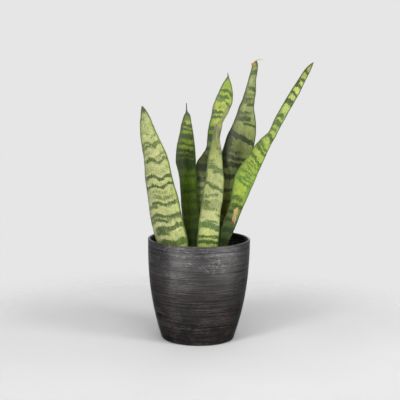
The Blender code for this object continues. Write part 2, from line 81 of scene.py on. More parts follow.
# Leaves: height, x, y, width, facing (degrees), channel, thickness, as in the CAD part. Only
# leaf_dark_left is up to 1.4 mm wider and 0.6 mm further left here, from 123 to 148 mm up.
LEAVES = {
    "leaf_front_left": (
        (LEAF_BASE_Z, -19, -8, 15, -15, -2.0, 4.6),
        (74, -21.5, -9.5, 20, -15, -3.0, 4.6),
        (90, -25.5, -11.5, 28.2, -17, -3.6, 4.2),
        (107, -29.5, -13, 35.6, -21, -3.8, 3.8),
        (125, -34.6, -13.5, 43.8, -25, -3.6, 3.4),
        (150, -41.2, -14.2, 44, -25, -3.4, 3.0),
        (175, -45.4, -14.8, 42, -24, -3.0, 2.8),
        (200, -50.8, -15.5, 37, -22, -2.6, 2.6),
        (224, -54.1, -16.2, 32.2, -20, -2.2, 2.4),
        (248, -61.4, -16.8, 24.6, -18, -1.6, 2.2),
        (265, -65.6, -17.4, 18, -18, -1.0, 1.9),
        (278.5, -68.2, -17.7, 11.2, -18, -0.6, 1.6),
        (285, -69.7, -17.8, 6.2, -18, -0.2, 1.2),
        (289.8, -71.2, -18, 0.9, -18, 0.0, 0.8),
    ),
    "leaf_dark_left": (
        (LEAF_BASE_Z, -6, 1.5, 13, 12, 2.2, 4.4),
        (90, -6.4, 2.3, 14.2, 15, 2.4, 4.0),
        (123, -7.4, 3, 17, 26, 2.4, 3.4),
        (135, -8.7, 3.4, 20.2, 28, 2.3, 3.2),
        (148, -10.7, 3.7, 24, 28, 2.3, 3.0),
        (173, -13.6, 4.5, 23, 28, 2.2, 2.8),
        (198, -14.9, 5.2, 24.4, 28, 2.1, 2.7),
        (210, -16.6, 5.6, 25.6, 28, 2.0, 2.6),
        (222, -18.4, 5.9, 28, 28, 1.9, 2.5),
        (235, -18.5, 6.3, 26.6, 28, 1.6, 2.4),
        (248, -17.9, 6.6, 22.4, 28, 1.3, 2.2),
        (260, -17.7, 7, 17.6, 28, 1.0, 2.0),
        (272, -17.4, 7.4, 11.8, 28, 0.6, 1.7),
        (278.5, -17.1, 7.6, 8, 28, 0.4, 1.4),
        (282.5, -17.6, 7.7, 2.6, 28, 0.1, 1.1),
        (293, -17.9, 8, 0.9, 28, 0.0, 0.7),
    ),
    "leaf_tall_centre": (
        (LEAF_BASE_Z, 4, 8.5, 13, -8, 2.2, 4.4),
        (90, 6, 9.5, 16, -10, 2.6, 4.2),
        (121.5, 8.1, 11, 20.8, -18, 3.0, 3.6),
        (147, 9, 11.7, 28.2, -20, 3.2, 3.2),
        (172, 9.5, 12.3, 32, -20, 3.2, 2.9),
        (197, 10, 13, 34.4, -18, 3.0, 2.8),
        (216, 10.7, 13.5, 31, -4, 2.8, 2.7),
        (225, 12.4, 13.7, 25.8, 18, 2.4, 2.7),
        (228.5, 13.2, 13.8, 23.8, 23, 2.2, 2.7),
        (232.5, 14.2, 13.9, 22, 28, 2.0, 2.6),
        (239, 14.8, 14.2, 19.4, 36, 1.8, 2.6),
        (248, 15.1, 14.5, 20.2, 40, 1.8, 2.5),
        (260, 16.7, 15, 20, 34, 2.0, 2.4),
        (272, 20, 15.6, 20.2, 26, 2.2, 2.3),
        (284.5, 24.3, 16.1, 23.8, 20, 2.3, 2.2),
        (291, 26.6, 16.3, 23.6, 18, 2.2, 2.1),
        (303, 29.9, 16.9, 20, 16, 1.6, 1.9),
        (315.5, 31.7, 17.4, 12.4, 14, 0.8, 1.6),
        (321.5, 32.5, 17.6, 6.4, 14, 0.4, 1.3),
        (326.5, 33, 17.8, 1.8, 14, 0.1, 1.0),
        (330.2, 32.4, 18, 0.8, 14, 0.0, 0.7),
    ),
    "leaf_front_centre": (
        (LEAF_BASE_Z, 3, -7, 14.4, 8, -1.6, 4.4),
        (74, 5, -9.5, 17.6, 8, -1.8, 4.4),
        (90, 7, -14.5, 21.2, 10, -2.0, 4.0),
        (105, 9, -18, 24.4, 13, -2.0, 3.8),
        (120, 10.8, -20, 27.4, 16, -2.0, 3.5),
        (139.5, 12.4, -19, 27.8, 18, -2.0, 3.2),
        (152, 13.1, -18.3, 27.2, 18, -1.9, 3.0),
        (164, 14.1, -17.6, 26.2, 18, -1.8, 2.9),
        (176.5, 16.2, -17, 26.8, 18, -1.8, 2.8),
        (188.5, 17, -16.3, 26.4, 18, -1.7, 2.7),
        (201, 18.7, -15.7, 24, 18, -1.5, 2.6),
        (213, 18.3, -15, 21.2, 18, -1.3, 2.5),
        (225, 18.5, -14.4, 19, 18, -1.1, 2.4),
        (237.5, 18.8, -13.7, 15.4, 18, -0.8, 2.2),
        (249.5, 18.8, -13, 10.4, 18, -0.5, 2.0),
        (256, 18.9, -12.7, 8.6, 18, -0.3, 1.8),
        (262, 19.7, -12.4, 5, 18, -0.2, 1.5),
        (266, 19.4, -12.2, 3, 18, 0.0, 1.2),
        (269, 19.1, -12, 1.2, 18, 0.0, 0.8),
    ),
    "leaf_tall_rear": (
        (LEAF_BASE_Z, 19, 7, 13, -15, 2.2, 4.4),
        (74, 21.5, 9, 13.6, -16, 2.3, 4.2),
        (90, 25, 11.5, 14.2, -20, 2.4, 4.0),
        (107, 28, 13.5, 15, -24, 2.4, 3.8),
        (121.5, 31, 15, 16.6, -28, 2.6, 3.6),
        (134, 32.4, 16.2, 20.2, -30, 2.8, 3.4),
        (146.5, 33.6, 17.4, 23.8, -30, 3.0, 3.2),
        (171.5, 35.2, 19.9, 27.4, -30, 3.4, 3.0),
        (196.5, 38.3, 22.3, 33, -30, 3.6, 2.9),
        (215.5, 41.8, 24.2, 39.4, -30, 3.8, 2.8),
        (234, 47.6, 26, 41, -30, 3.6, 2.7),
        (247, 51.5, 27.1, 41, -30, 3.2, 2.6),
        (259.5, 54.7, 28.3, 35.8, -30, 2.8, 2.5),
        (272, 56.4, 29.4, 30.2, -30, 2.4, 2.4),
        (284.5, 57.4, 30.5, 22.8, -30, 2.0, 2.3),
        (297, 60, 31.7, 17.8, -30, 1.8, 2.2),
        (309.5, 62.5, 32.8, 15, -30, 1.6, 2.1),
        (321.5, 63.8, 34, 11.2, -30, 1.2, 2.0),
        (334, 66.5, 35.1, 9.4, -30, 0.9, 1.8),
        (340.5, 67.1, 35.7, 8.4, -30, 0.7, 1.5),
        (344, 65.5, 36, 9.4, -30, 0.4, 1.2),
    ),
    "leaf_leaning_right": (
        (LEAF_BASE_Z, 18, -5.5, 13, 15, 2.2, 4.4),
        (74, 20, -5.5, 13.6, 16, 2.2, 4.2),
        (90, 23, -5.2, 13.2, 20, 2.2, 4.0),
        (107, 27, -5, 13, 26, 2.2, 3.8),
        (118.5, 28.7, -5, 13.4, 29, 2.2, 3.6),
        (131, 32.3, -4.8, 17.2, 32, 2.2, 3.4),
        (143.5, 36.2, -4.4, 19.8, 32, 2.3, 3.3),
        (156, 40.6, -4, 20.2, 32, 2.4, 3.2),
        (168.5, 45, -3.6, 21.2, 32, 2.5, 3.0),
        (181, 48.5, -3.2, 25.6, 32, 2.6, 2.9),
        (193.5, 51.9, -2.8, 29.2, 32, 2.7, 2.8),
        (203, 55.1, -2.5, 31.8, 32, 2.6, 2.7),
        (212.5, 59.7, -2.2, 30.6, 32, 2.4, 2.6),
        (224.5, 66.4, -1.9, 26.4, 32, 2.2, 2.5),
        (237, 72.9, -1.5, 24.2, 32, 2.0, 2.4),
        (246, 78.8, -1.2, 20.2, 32, 1.8, 2.4),
        (255.5, 86.1, -0.9, 14.2, 32, 1.6, 2.3),
        (262, 89.7, -0.7, 13, 32, 1.6, 2.2),
        (274, 95, -0.3, 14.6, 32, 1.7, 2.2),
        (292.5, 105.1, 0.3, 13.8, 32, 1.6, 2.1),
        (311, 115.6, 0.9, 13.6, 32, 1.4, 2.0),
        (323.5, 122.6, 1.3, 11, 32, 1.0, 1.8),
        (335.5, 129.3, 1.7, 8.6, 32, 0.7, 1.5),
        (341.5, 133.5, 1.9, 5, 32, 0.4, 1.2),
        (344.7, 136.3, 2, 1, 32, 0.0, 0.8),
    ),
}


def plain_bands(half, strength, heights, reach=1.1):
    """Level bands right across the low part of a leaf."""
    return [(height, half, strength, reach) for height in heights]


# What each leaf's skin shows. Colours are display values of red, green and blue from 0 to 255.
# ground and dark: height, red, green, blue. Low on the leaves that stand behind or under others these
# ramps are darker than the leaf's own colour: painted shade from the leaves in front. left and right:
# tint of that margin, and how much; the greyer left margins of leaf_front_left and leaf_tall_rear are
# painted shade.
# wave: how far every band swings up and down, the side where it is up, one swing's length.
# bands: height, half height, strength, reach, middle (-1 left to 1 right), rise to the right. A
# short row leaves off values that are as in BAND_USUAL.
# spots: height, side, half height, half side, colour, strength.
SKINS = {
    "leaf_front_left": {
        "ground": (
            (290, 104, 122, 72), (283, 168, 180, 122), (270, 192, 200, 136), (255, 194, 200, 138),
            (225, 200, 203, 144), (180, 195, 200, 138), (150, 202, 208, 142), (135, 224, 230, 164),
            (115, 224, 232, 162), (85, 176, 186, 112),
        ),
        "dark": (
            (290, 66, 84, 42), (245, 88, 110, 56), (200, 66, 88, 42), (140, 80, 102, 58),
            (120, 102, 128, 66), (85, 80, 106, 56),
        ),
        "left": ((166, 164, 136), 0.55),
        "right": ((184, 202, 92), 0.6),
        "wave": (1.6, -0.38, 1.2),
        "bands": (
            (280, 2.5, 0.18, 1), (273.5, 1.7, 0.46, 0.5, -0.5), (268, 1.4, 0.36, 0.6, -0.2),
            (262, 3.5, 0.22, 0.9, 0.2), (256.5, 1.2, 0.36, 0.6, -0.3), (252.5, 1.5, 0.5, 0.35, 0.6),
            (245.4, 1.3, 0.62, 0.5, -0.5), (240.2, 1.5, 0.68, 0.5, -0.5), (242.4, 2.3, 0.66, 0.6, 0.45),
            (233, 0.9, 0.4, 0.4, -0.5), (224.4, 2.3, 0.84, 0.5, -0.35), (229, 1.3, 0.5, 0.4, 0.6),
            (223.4, 1.6, 0.6, 0.6, 0.45), (212, 3, 0.26, 1), (202.9, 1.35, 1, 1, 0.15), (192.6, 1.2, 1),
            (185, 1.6, 0.36, 0.6, -0.2), (178.8, 2.0, 0.45, 0.7, 0.1), (170.8, 1.8, 0.7, 0.9, 0.15),
            (166.6, 1.6, 0.65, 0.35, -0.7), (155.6, 1.7, 0.78, 1.1, 0.1), (149.8, 1.4, 0.8, 0.65, -0.4),
            (152.6, 2.2, 0.52, 0.5, 0.6), (137.2, 4.2, 0.86, 0.42, -0.35), (141, 2.8, 0.66, 0.65, 0.45),
            (121.6, 4.2, 0.7, 0.95, 0.3, -1), (106, 3, 0.85), (95, 2.2, 0.8), (84, 3, 0.8),
            (73, 2.2, 0.7),
        ),
        "spots": (
            (287, 0, 5, 1.3, (70, 88, 46), 0.9), (201, -0.86, 3.5, 0.12, (128, 120, 116), 0.7),
            (190, -0.8, 3, 0.14, (120, 118, 100), 0.5), (167, -0.75, 4, 0.2, (128, 124, 100), 0.5),
            (151, -0.72, 5, 0.16, (118, 112, 88), 0.5), (240, -0.9, 9, 0.16, (112, 116, 88), 0.55),
        ),
    },
    "leaf_dark_left": {
        "ground": (
            (293, 74, 82, 54), (284, 74, 86, 52), (279.5, 84, 98, 50), (275, 110, 128, 56),
            (269, 128, 146, 60), (262, 134, 152, 60), (247, 128, 150, 52), (238, 124, 147, 50),
            (228, 92, 113, 44), (219, 72, 96, 32), (205, 88, 115, 34), (190, 97, 126, 34),
            (170, 92, 118, 34), (125, 86, 110, 38), (85, 80, 104, 44),
        ),
        "dark": (
            (293, 58, 66, 38), (245, 52, 72, 30), (225, 40, 56, 22), (205, 54, 74, 22),
            (150, 66, 84, 28), (85, 56, 76, 28),
        ),
        "left": ((58, 72, 34), 0.6),
        "right": ((58, 76, 30), 0.5),
        "wave": (0.5, -0.3, 1.8),
        "bands": (
            (278.6, 1.2, 0.7, 1), (266.8, 1.9, 1, 0.9, 0, -0.5), (260, 0.8, 0.72, 1, 0, -0.5),
            (252.2, 2.5, 1, 1.1, 0.1, -1.2), (242.2, 1.0, 1, 1.2, 0, -2.2),
            (233.6, 1.9, 1, 1.2, 0, -1.8), (227.8, 1.2, 0.75, 1, 0.1, -1),
            (222.5, 1.5, 0.6, 1, 0.2, -1), (217, 5.5, 0.8, 1.1, 0.15, -1),
            (203, 1.6, 0.45, 1.1, 0, -0.6), (190, 2.5, 0.4, 1.1, 0, -0.6), (184, 2.4, 0.6, 1.1, 0, 0.6),
            (171, 3, 0.4), (158, 4, 0.5, 1.1, 0.1), (146, 3, 0.5), (134, 3, 0.5), (120, 3, 0.6),
            (104, 3, 0.7), (90, 2.5, 0.7), (76, 2.5, 0.7),
        ),
        "spots": (
            (288, 0, 6.5, 1.4, (74, 80, 52), 0.8), (160, -0.92, 13, 0.1, (120, 118, 98), 0.7),
            (270, 0.25, 2.6, 0.6, (160, 182, 76), 0.8),
        ),
    },
    "leaf_tall_centre": {
        "ground": (
            (330, 84, 104, 56), (322, 140, 162, 74), (308, 168, 186, 88), (295, 181, 193, 94),
            (283, 182, 194, 95), (270, 172, 187, 91), (258, 124, 142, 68), (243, 116, 131, 69),
            (234, 98, 108, 64), (222, 80, 88, 54), (204, 92, 100, 60), (190, 152, 164, 104),
            (176, 126, 140, 80), (150, 97, 102, 47), (125, 84, 94, 42), (85, 80, 96, 50),
        ),
        "dark": (
            (330, 74, 94, 50), (300, 86, 110, 62), (280, 72, 96, 58), (250, 68, 86, 62),
            (234, 50, 58, 42), (212, 42, 50, 34), (190, 76, 90, 56), (150, 60, 67, 34),
        ),
        "left": ((110, 134, 50), 0.35),
        "right": ((128, 140, 92), 0.4),
        "wave": (0.6, 0.3, 1.7),
        "bands": (
            (307.8, 1.7, 1, 0.7, -0.3), (306.5, 2.2, 0.95, 0.3, 0.8, -1), (300.4, 1.4, 1, 0.8, -0.3),
            (296.4, 0.9, 0.6, 0.7, -0.35), (294.6, 1.6, 0.95, 0.4, 0.72, -3.2),
            (287.8, 1.3, 0.7, 0.16, -0.2), (281.4, 1.2, 1, 0.75, -0.35, -0.8),
            (279.6, 1.1, 0.85, 0.3, -0.85), (275.8, 0.9, 0.9, 0.8, -0.1, 1.2),
            (261.5, 1.5, 0.75, 0.5, -0.5), (250.5, 3.4, 0.95, 0.7, -0.6), (236, 2, 0.7),
            (226, 1.6, 0.5), (213, 3.6, 1, 1.2), (198, 2.4, 0.95, 1.2), (186.5, 1.8, 0.9, 1.2),
            (178, 1.2, 0.55, 1.2), (170, 1.6, 0.55, 1.2),
            *plain_bands(3, 0.7, (158, 144, 130, 114, 98, 82), reach=1.2),
        ),
        "spots": (
            # The grey patch at 278 mm on the right margin is partly the duller back of the blade and
            # partly painted shade on the strip that folds back there.
            (326, 0, 5, 1.4, (82, 104, 54), 0.75), (278, 0.75, 16, 0.32, (152, 158, 112), 0.75),
            (320, 0.2, 3, 0.5, (158, 182, 84), 0.5),
        ),
    },
    "leaf_front_centre": {
        "ground": (
            (269, 120, 114, 92), (262, 128, 134, 86), (254, 127, 137, 78), (240, 142, 152, 87),
            (228, 167, 175, 108), (205, 174, 179, 122), (180, 180, 185, 130), (150, 202, 206, 145),
            (130, 207, 217, 134), (118, 192, 206, 110), (85, 166, 178, 108),
        ),
        "dark": (
            (269, 100, 98, 84), (240, 92, 112, 72), (215, 92, 110, 62), (192, 80, 102, 54),
            (165, 94, 114, 58), (142, 90, 120, 66), (124, 70, 96, 42), (85, 70, 96, 48),
        ),
        "left": ((150, 156, 112), 0.45),
        "right": ((164, 182, 104), 0.5),
        "wave": (0.7, 0.1, 1.6),
        "bands": (
            (252, 1.0, 0.4, 0.5, 0.5), (239, 1.4, 0.8, 0.5, 0.5), (234.6, 1.2, 0.6, 0.35, 0.7, -0.5),
            (224.6, 1.3, 0.55, 0.45, -0.6, -2), (219.5, 1.0, 0.6, 0.5, -0.5, -2.5),
            (215.5, 1.6, 0.76, 1, 0.1, -3), (211, 1.5, 0.72, 0.7, 0.4, -1.5),
            (207.5, 1.6, 0.6, 0.3, 0.8), (194.6, 2.4, 0.95, 0.35, -0.75, -2),
            (192.2, 1.7, 1, 1.1, 0.1, -4.8), (182, 2.2, 0.5, 0.8, -0.2), (171.5, 4.4, 0.76, 0.4, -0.72),
            (172, 4.2, 0.36, 0.8, 0.35), (165.6, 1.8, 0.52, 0.8, -0.1),
            (161, 1.0, 0.85, 0.25, 0.78, -3), (156, 1.4, 0.55, 0.2, -0.75),
            (149.8, 1.3, 0.7, 0.6, 0.2, -1), (144.4, 3.0, 0.95, 1.2, 0, -3), (131, 1.5, 0.7, 1.2),
            (124.6, 1.6, 0.9, 1.2, 0.1), (112, 2.6, 0.85), (100, 2.6, 0.85), (88, 2.6, 0.8),
            (76, 2.4, 0.8),
        ),
        "spots": (
            (265, 0, 4.5, 1.4, (140, 126, 108), 0.6), (256, -0.35, 7, 0.22, (92, 104, 70), 0.55),
            (254, 0.15, 6, 0.16, (176, 172, 140), 0.5), (244, 0.84, 4.5, 0.1, (196, 150, 118), 0.9),
            (247, 0.55, 3, 0.12, (122, 110, 72), 0.6), (166, -0.5, 2, 0.2, (122, 112, 70), 0.3),
        ),
    },
    "leaf_tall_rear": {
        "ground": (
            (344, 136, 158, 84), (334, 150, 168, 98), (325, 171, 182, 126), (305, 163, 174, 109),
            (285, 164, 175, 118), (265, 170, 182, 113), (256, 152, 163, 100), (242, 138, 149, 92),
            (232, 124, 136, 82), (220, 138, 150, 91), (208, 140, 152, 93), (190, 156, 166, 112),
            (165, 122, 134, 57), (125, 54, 68, 34), (85, 70, 86, 48),
        ),
        "dark": (
            (344, 92, 108, 70), (298, 88, 101, 68), (273, 74, 87, 60), (250, 58, 70, 48),
            (218, 56, 64, 42), (184, 84, 92, 56), (150, 71, 82, 38), (130, 36, 48, 26),
            (85, 44, 58, 30),
        ),
        "left": ((94, 98, 70), 0.75),
        "right": ((150, 168, 96), 0.35),
        "wave": (0.8, 0.5, 1.9),
        "bands": (
            (330.5, 2.4, 0.7, 1.2), (311.4, 1.5, 0.9, 0.9, 0.3, -2.5), (303, 1.2, 0.4, 1),
            (298.6, 1.2, 0.8, 0.8, -0.25, -1.5), (296, 2.6, 0.46, 0.7, -0.25, -1),
            (291.5, 1.4, 0.72, 0.6, 0.5, -1.6), (280.5, 1.2, 0.7, 0.8, -0.2, -1),
            (277, 5.2, 0.4, 0.7, -0.3), (273, 2.6, 0.8, 0.6, -0.15, -1),
            (267.6, 0.9, 0.85, 0.6, 0.5, -3.2), (249.4, 2.6, 1, 1.3, 0, -5),
            (231, 1.4, 0.55, 0.4, -0.1), (224.5, 1.8, 0.85), (215.5, 3.0, 0.95, 1.2, -0.1, -0.5),
            (201, 2.4, 1, 1.2), (184, 2.2, 0.85, 1.2), (170, 2.4, 0.7, 1.2),
            *plain_bands(2.6, 0.7, (156, 142, 127, 112, 97, 82), reach=1.2),
        ),
        "spots": (
            (345, -0.3, 3, 1.2, (206, 148, 84), 0.95), (341, 0.7, 4, 0.3, (76, 92, 54), 0.7),
            # The long dark patch at 232 mm on the left margin is painted shadow from the leaves in
            # front.
            (163, -0.35, 7, 0.3, (90, 70, 32), 0.8), (232, -0.95, 28, 0.5, (44, 50, 34), 0.75),
            (294, -0.9, 5, 0.16, (84, 84, 72), 0.6),
        ),
    },
    "leaf_leaning_right": {
        "ground": (
            (345, 112, 96, 62), (339, 156, 174, 90), (310, 194, 206, 120), (296, 192, 205, 118),
            (262, 166, 184, 96), (250, 182, 198, 100), (240, 172, 190, 88), (222, 172, 190, 86),
            (200, 162, 186, 74), (183, 170, 189, 74), (166, 119, 149, 53), (152, 86, 108, 46),
            (140, 71, 95, 42), (125, 62, 78, 38), (85, 80, 100, 55),
        ),
        "dark": (
            (345, 80, 66, 44), (325, 66, 88, 40), (296, 58, 84, 38), (270, 84, 106, 54),
            (237, 74, 104, 42), (210, 92, 126, 50), (190, 88, 124, 46), (172, 62, 82, 24),
            (150, 46, 58, 26), (125, 46, 60, 28), (85, 56, 76, 36),
        ),
        "left": ((96, 120, 56), 0.5),
        "right": ((110, 138, 58), 0.65),
        "wave": (0.6, -0.2, 1.7),
        "bands": (
            (333, 1.4, 0.75), (324.3, 1.0, 0.95), (319, 3, 0.8, 0.5, -0.7), (315.8, 1.0, 0.85),
            (307, 1.0, 0.9, 1.1, 0, -1), (296.4, 2.5, 1, 1.2, 0, -0.5), (278.8, 2.0, 0.9, 0.9, -0.2),
            (270.5, 3, 0.6, 1, 0.1), (262, 1.0, 0.5, 1), (253.5, 1.5, 0.9, 0.9, 0.2, -1),
            (243, 1.3, 0.6, 0.9, 0, -2), (237.8, 1.2, 1, 1.1, 0, -3), (226.2, 1.1, 0.9, 1.1, 0, -3.7),
            (220.5, 0.7, 0.62, 0.7, 0.3, -2), (216.8, 0.7, 0.66, 0.6, -0.3, -1.8),
            (213.2, 0.8, 0.66, 0.7, 0.3, -2), (209, 0.9, 0.7, 0.8, -0.2, -1.6),
            (205.4, 0.7, 0.68, 0.6, 0.4, -2), (201.4, 0.9, 0.7, 0.8, 0.2, -2.4),
            (196.8, 1.2, 0.8, 0.9, 0.1, -5), (177, 2.6, 0.58, 0.9, -0.3), (168, 2, 0.6, 0.9, 0.2),
            (160, 2.6, 0.75, 0.7, -0.4), (150, 2.6, 0.6),
            *plain_bands(2.6, 0.7, (138, 124, 110, 96, 82)),
        ),
        "spots": (
            (344, 0, 3.5, 1.4, (132, 92, 62), 0.8), (157.5, 0.28, 8, 0.3, (206, 166, 122), 0.76),
            (162, 0.15, 4, 0.2, (214, 180, 128), 0.7), (153, 0.6, 7, 0.12, (196, 196, 140), 0.7),
            (147.5, 0.3, 2.4, 0.14, (132, 74, 46), 0.85), (190, 0.75, 12, 0.25, (96, 130, 50), 0.6),
        ),
    },
}
SKIN_SHADE = 0.84
SKIN_BLUE = 0.92
FADE = 0.26  # how gently a band ends sideways, as a share of the half width
EDGE_IN, EDGE_OUT = 0.5, 1.5  # mm inside and outside a band's edge where it turns dark
RAMP_LOW, RAMP_HIGH = 60.0, 350.0  # heights that the colour ramps span
SPOT_SOLID, SPOT_END = 0.45, 1.35  # where a spot starts to fade and is gone: squared shares of its size
WARM_TINT = (1.04, 1.02, 0.83, 1.0)
BAND_INPUTS = ("Centre", "Half", "Strength", "Reach", "Middle", "Rise")
BAND_USUAL = {"Reach": 1.1, "Middle": 0, "Rise": 0}
SPOT_INPUTS = ("Centre", "Middle", "Half", "Reach", "Strength")

# How uneven the leaves are.
RIPPLE = 0.55  # waves in the blade
RIDGE = 0.1  # ridges along it
RAGGED = 0.35  # in and out at the margins
BEAD = 0.35  # extra thickness of the margins, as a share

# How fine the meshes are.
RING_STEP = 1.5  # between a leaf's rings
TIP_STEP = 0.5  # the same, near the tip
TIP_LENGTH = 14.0
SECTION_POINTS = 44  # around a leaf
LATHE_STEPS = 240
POT_STEPS = 144
MIX_STEPS = 150
MIX_RINGS = 46
FIBRE_SIDES = 6
CRUMBS = 620  # tried; those that would stand in a leaf are left out
CHIP_SHARE = 0.22  # of the crumbs that are bark chips

# Stage, lights and camera, in metres, watts and degrees.
FLOOR_RADIUS = 0.44
FLOOR_SOLID = 0.16  # where the floor starts to fade
COVE_START = 0.45  # behind the plant
COVE_BEND = 0.35
COVE_DROP = 0.001  # below the floor
WORLD_LIGHT = 0.14  # how strongly the surroundings light the plant
WORLD_SEEN = 0.79  # and how pale the camera sees them
LIGHT_AIM = (0, 0, 0.16)
# Azimuth from the front towards +X, elevation, distance, width, height, power.
SOFTBOXES = {
    "softbox_left": (-37, 14, 1.3, 0.32, 0.8, 9.5),
    "softbox_right": (59, 14, 1.3, 0.46, 0.8, 10.8),
    "softbox_top": (0, 62, 1.8, 1.4, 0.8, 12.5),
}
CAMERA_AT = (0.0005, -1.2841, 0.3506)
CAMERA_DOWN = 7.84
CAMERA_ROLL = 0.84
CAMERA_LENS = 94.13  # mm
CAMERA_SENSOR = 36  # mm

BODY_PLANT = "plant_body"
BODY_PLANTER = "planter_body"

# ---- nodes ----


def tone(red, green, blue):
    """A display colour from 0 to 255 as linear values."""
    values = []
    for part in (red, green, blue):
        share = part / 255
        values.append(share / 12.92 if share <= 0.04045 else ((share + 0.055) / 1.055) ** 2.4)
    return (*values, 1.0)


def skin_tone(colour):
    """A leaf colour, less its share of the blue that the gloss of the skin adds."""
    red, green, blue, alpha = tone(*colour)
    return (red * SKIN_SHADE, green * SKIN_SHADE, blue * SKIN_SHADE * SKIN_BLUE, alpha)


class Graph:
    """Adds nodes to a tree; an input is a number, a vector, a colour or another node's output."""

    def __init__(self, tree):
        self.tree = tree

    def add(self, kind, feeds, **settings):
        node = self.tree.nodes.new(kind)
        for name, value in settings.items():
            setattr(node, name, value)
        for key, value in feeds.items():
            if isinstance(value, bpy.types.NodeSocket):
                self.tree.links.new(value, node.inputs[key])
            else:
                node.inputs[key].default_value = value
        return node

    def math(self, operation, *values, clamp=False):
        feeds = dict(enumerate(values))
        return self.add("ShaderNodeMath", feeds, operation=operation, use_clamp=clamp).outputs[0]

    def times(self, first, second):
        return self.math("MULTIPLY", first, second)

    def less(self, first, second):
        return self.math("SUBTRACT", first, second)

    def shift(self, value, wave, amount):
        """The value, pushed up and down by a noise that swings around 0.5."""
        return self.math("MULTIPLY_ADD", self.less(wave, 0.5), amount, value)

    def spread(self, value, low, high, to_low=0.0, to_high=1.0, ease="SMOOTHSTEP"):
        """Maps low..high to to_low..to_high, smoothly."""
        feeds = {"Value": value, "From Min": low, "From Max": high, "To Min": to_low, "To Max": to_high}
        return self.add("ShaderNodeMapRange", feeds, interpolation_type=ease).outputs[0]

    def linear(self, *values):
        return self.spread(*values, ease="LINEAR")

    def noise(self, vector, scale=1.0, detail=2.0, roughness=0.5, distortion=0.0):
        feeds = {"Vector": vector, "Scale": scale, "Detail": detail, "Roughness": roughness,
                 "Distortion": distortion}
        return self.add("ShaderNodeTexNoise", feeds).outputs[0]

    def attribute(self, name):
        return self.add("ShaderNodeAttribute", {}, attribute_name=name).outputs["Fac"]

    def place(self, x, y, z):
        return self.add("ShaderNodeCombineXYZ", {0: x, 1: y, 2: z}).outputs[0]

    def mix(self, share, first, second, blend="MIX"):
        node = self.add("ShaderNodeMix", {0: share, 6: first, 7: second}, data_type="RGBA",
                        blend_type=blend)
        return node.outputs[2]

    def shaded(self, colour, amount):
        """The colour, lighter or darker by a factor."""
        grey = self.add("ShaderNodeCombineColor", {0: amount, 1: amount, 2: amount}).outputs[0]
        return self.mix(1.0, colour, grey, "MULTIPLY")

    def ramp(self, value, stops):
        """Colour stops (position, linear colour) along a value from 0 to 1."""
        node = self.add("ShaderNodeValToRGB", {0: value})
        elements = node.color_ramp.elements
        stops = sorted(stops)
        while len(elements) < len(stops):
            elements.new(0.5)
        for element, (position, colour) in zip(elements, stops):
            element.position = position
            element.color = colour
        return node.outputs[0]

    def bump(self, height, distance, strength=1.0):
        feeds = {"Height": height, "Distance": distance, "Strength": strength}
        return self.add("ShaderNodeBump", feeds).outputs[0]


def new_material(name):
    material = bpy.data.materials.new(name)
    material.use_nodes = True
    shader = material.node_tree.nodes["Principled BSDF"]
    return material, Graph(material.node_tree), shader


def wire(graph, shader, **outputs):
    names = {"colour": "Base Color", "roughness": "Roughness", "normal": "Normal",
             "metallic": "Metallic"}
    for key, value in outputs.items():
        graph.tree.links.new(value, shader.inputs[names[key]])


def object_mm(graph):
    """The surface point in millimetres."""
    point = graph.add("ShaderNodeTexCoord", {}).outputs["Object"]
    return graph.add("ShaderNodeVectorMath", {0: point, "Scale": 1000.0}, operation="SCALE").outputs[0]


def stretched(graph, point, x, y, z):
    return graph.add("ShaderNodeVectorMath", {0: point, 1: (x, y, z)}, operation="MULTIPLY").outputs[0]


def brushed(graph, point, across, up, detail, roughness):
    """Noise that is drawn out around a pot or up it: cycles per mm across and up."""
    return graph.noise(stretched(graph, point, across, across, up), 1.0, detail, roughness)


def height_of(graph, point):
    return graph.add("ShaderNodeSeparateXYZ", {0: point}).outputs["Z"]


def distance_of(graph, point):
    return graph.add("ShaderNodeVectorMath", {0: point}, operation="LENGTH").outputs["Value"]


# ---- leaves ----


def mask_group(name, inputs):
    """A new node group that gives a mask: its graph and its inputs."""
    tree = bpy.data.node_groups.new(name, "ShaderNodeTree")
    for label in ("Height", "Side", *inputs):
        tree.interface.new_socket(name=label, in_out="INPUT", socket_type="NodeSocketFloat")
    tree.interface.new_socket(name="Mask", in_out="OUTPUT", socket_type="NodeSocketFloat")
    return Graph(tree), tree.nodes.new("NodeGroupInput").outputs


def give_mask(graph, given, mask):
    """Sends the mask out of the group at its strength."""
    graph.add("NodeGroupOutput", {"Mask": graph.times(mask, given["Strength"])})
    return graph.tree


def band_group():
    """A node group that marks one dark band across a leaf."""
    graph, given = mask_group("leaf_band", BAND_INPUTS)
    line = graph.math("MULTIPLY_ADD", given["Side"], given["Rise"], given["Centre"])
    away = graph.math("ABSOLUTE", graph.less(given["Height"], line))
    inner = graph.less(given["Half"], EDGE_IN)
    outer = graph.math("ADD", given["Half"], EDGE_OUT)
    across = graph.spread(away, inner, outer, 1.0, 0.0)
    sideways = graph.math("ABSOLUTE", graph.less(given["Side"], given["Middle"]))
    starts = graph.less(given["Reach"], FADE)
    ends = graph.math("ADD", given["Reach"], FADE)
    along = graph.spread(sideways, starts, ends, 1.0, 0.0)
    return give_mask(graph, given, graph.times(across, along))


def spot_group():
    """A node group that marks one soft elliptical patch on a leaf."""
    graph, given = mask_group("leaf_spot", SPOT_INPUTS)
    up = graph.math("DIVIDE", graph.less(given["Height"], given["Centre"]), given["Half"])
    over = graph.math("DIVIDE", graph.less(given["Side"], given["Middle"]), given["Reach"])
    squares = graph.math("MULTIPLY_ADD", up, up, graph.times(over, over))
    return give_mask(graph, given, graph.spread(squares, SPOT_SOLID, SPOT_END, 1.0, 0.0))


def ramp_stops(stops):
    span = RAMP_HIGH - RAMP_LOW
    return [((height - RAMP_LOW) / span, skin_tone(colour)) for height, *colour in stops]


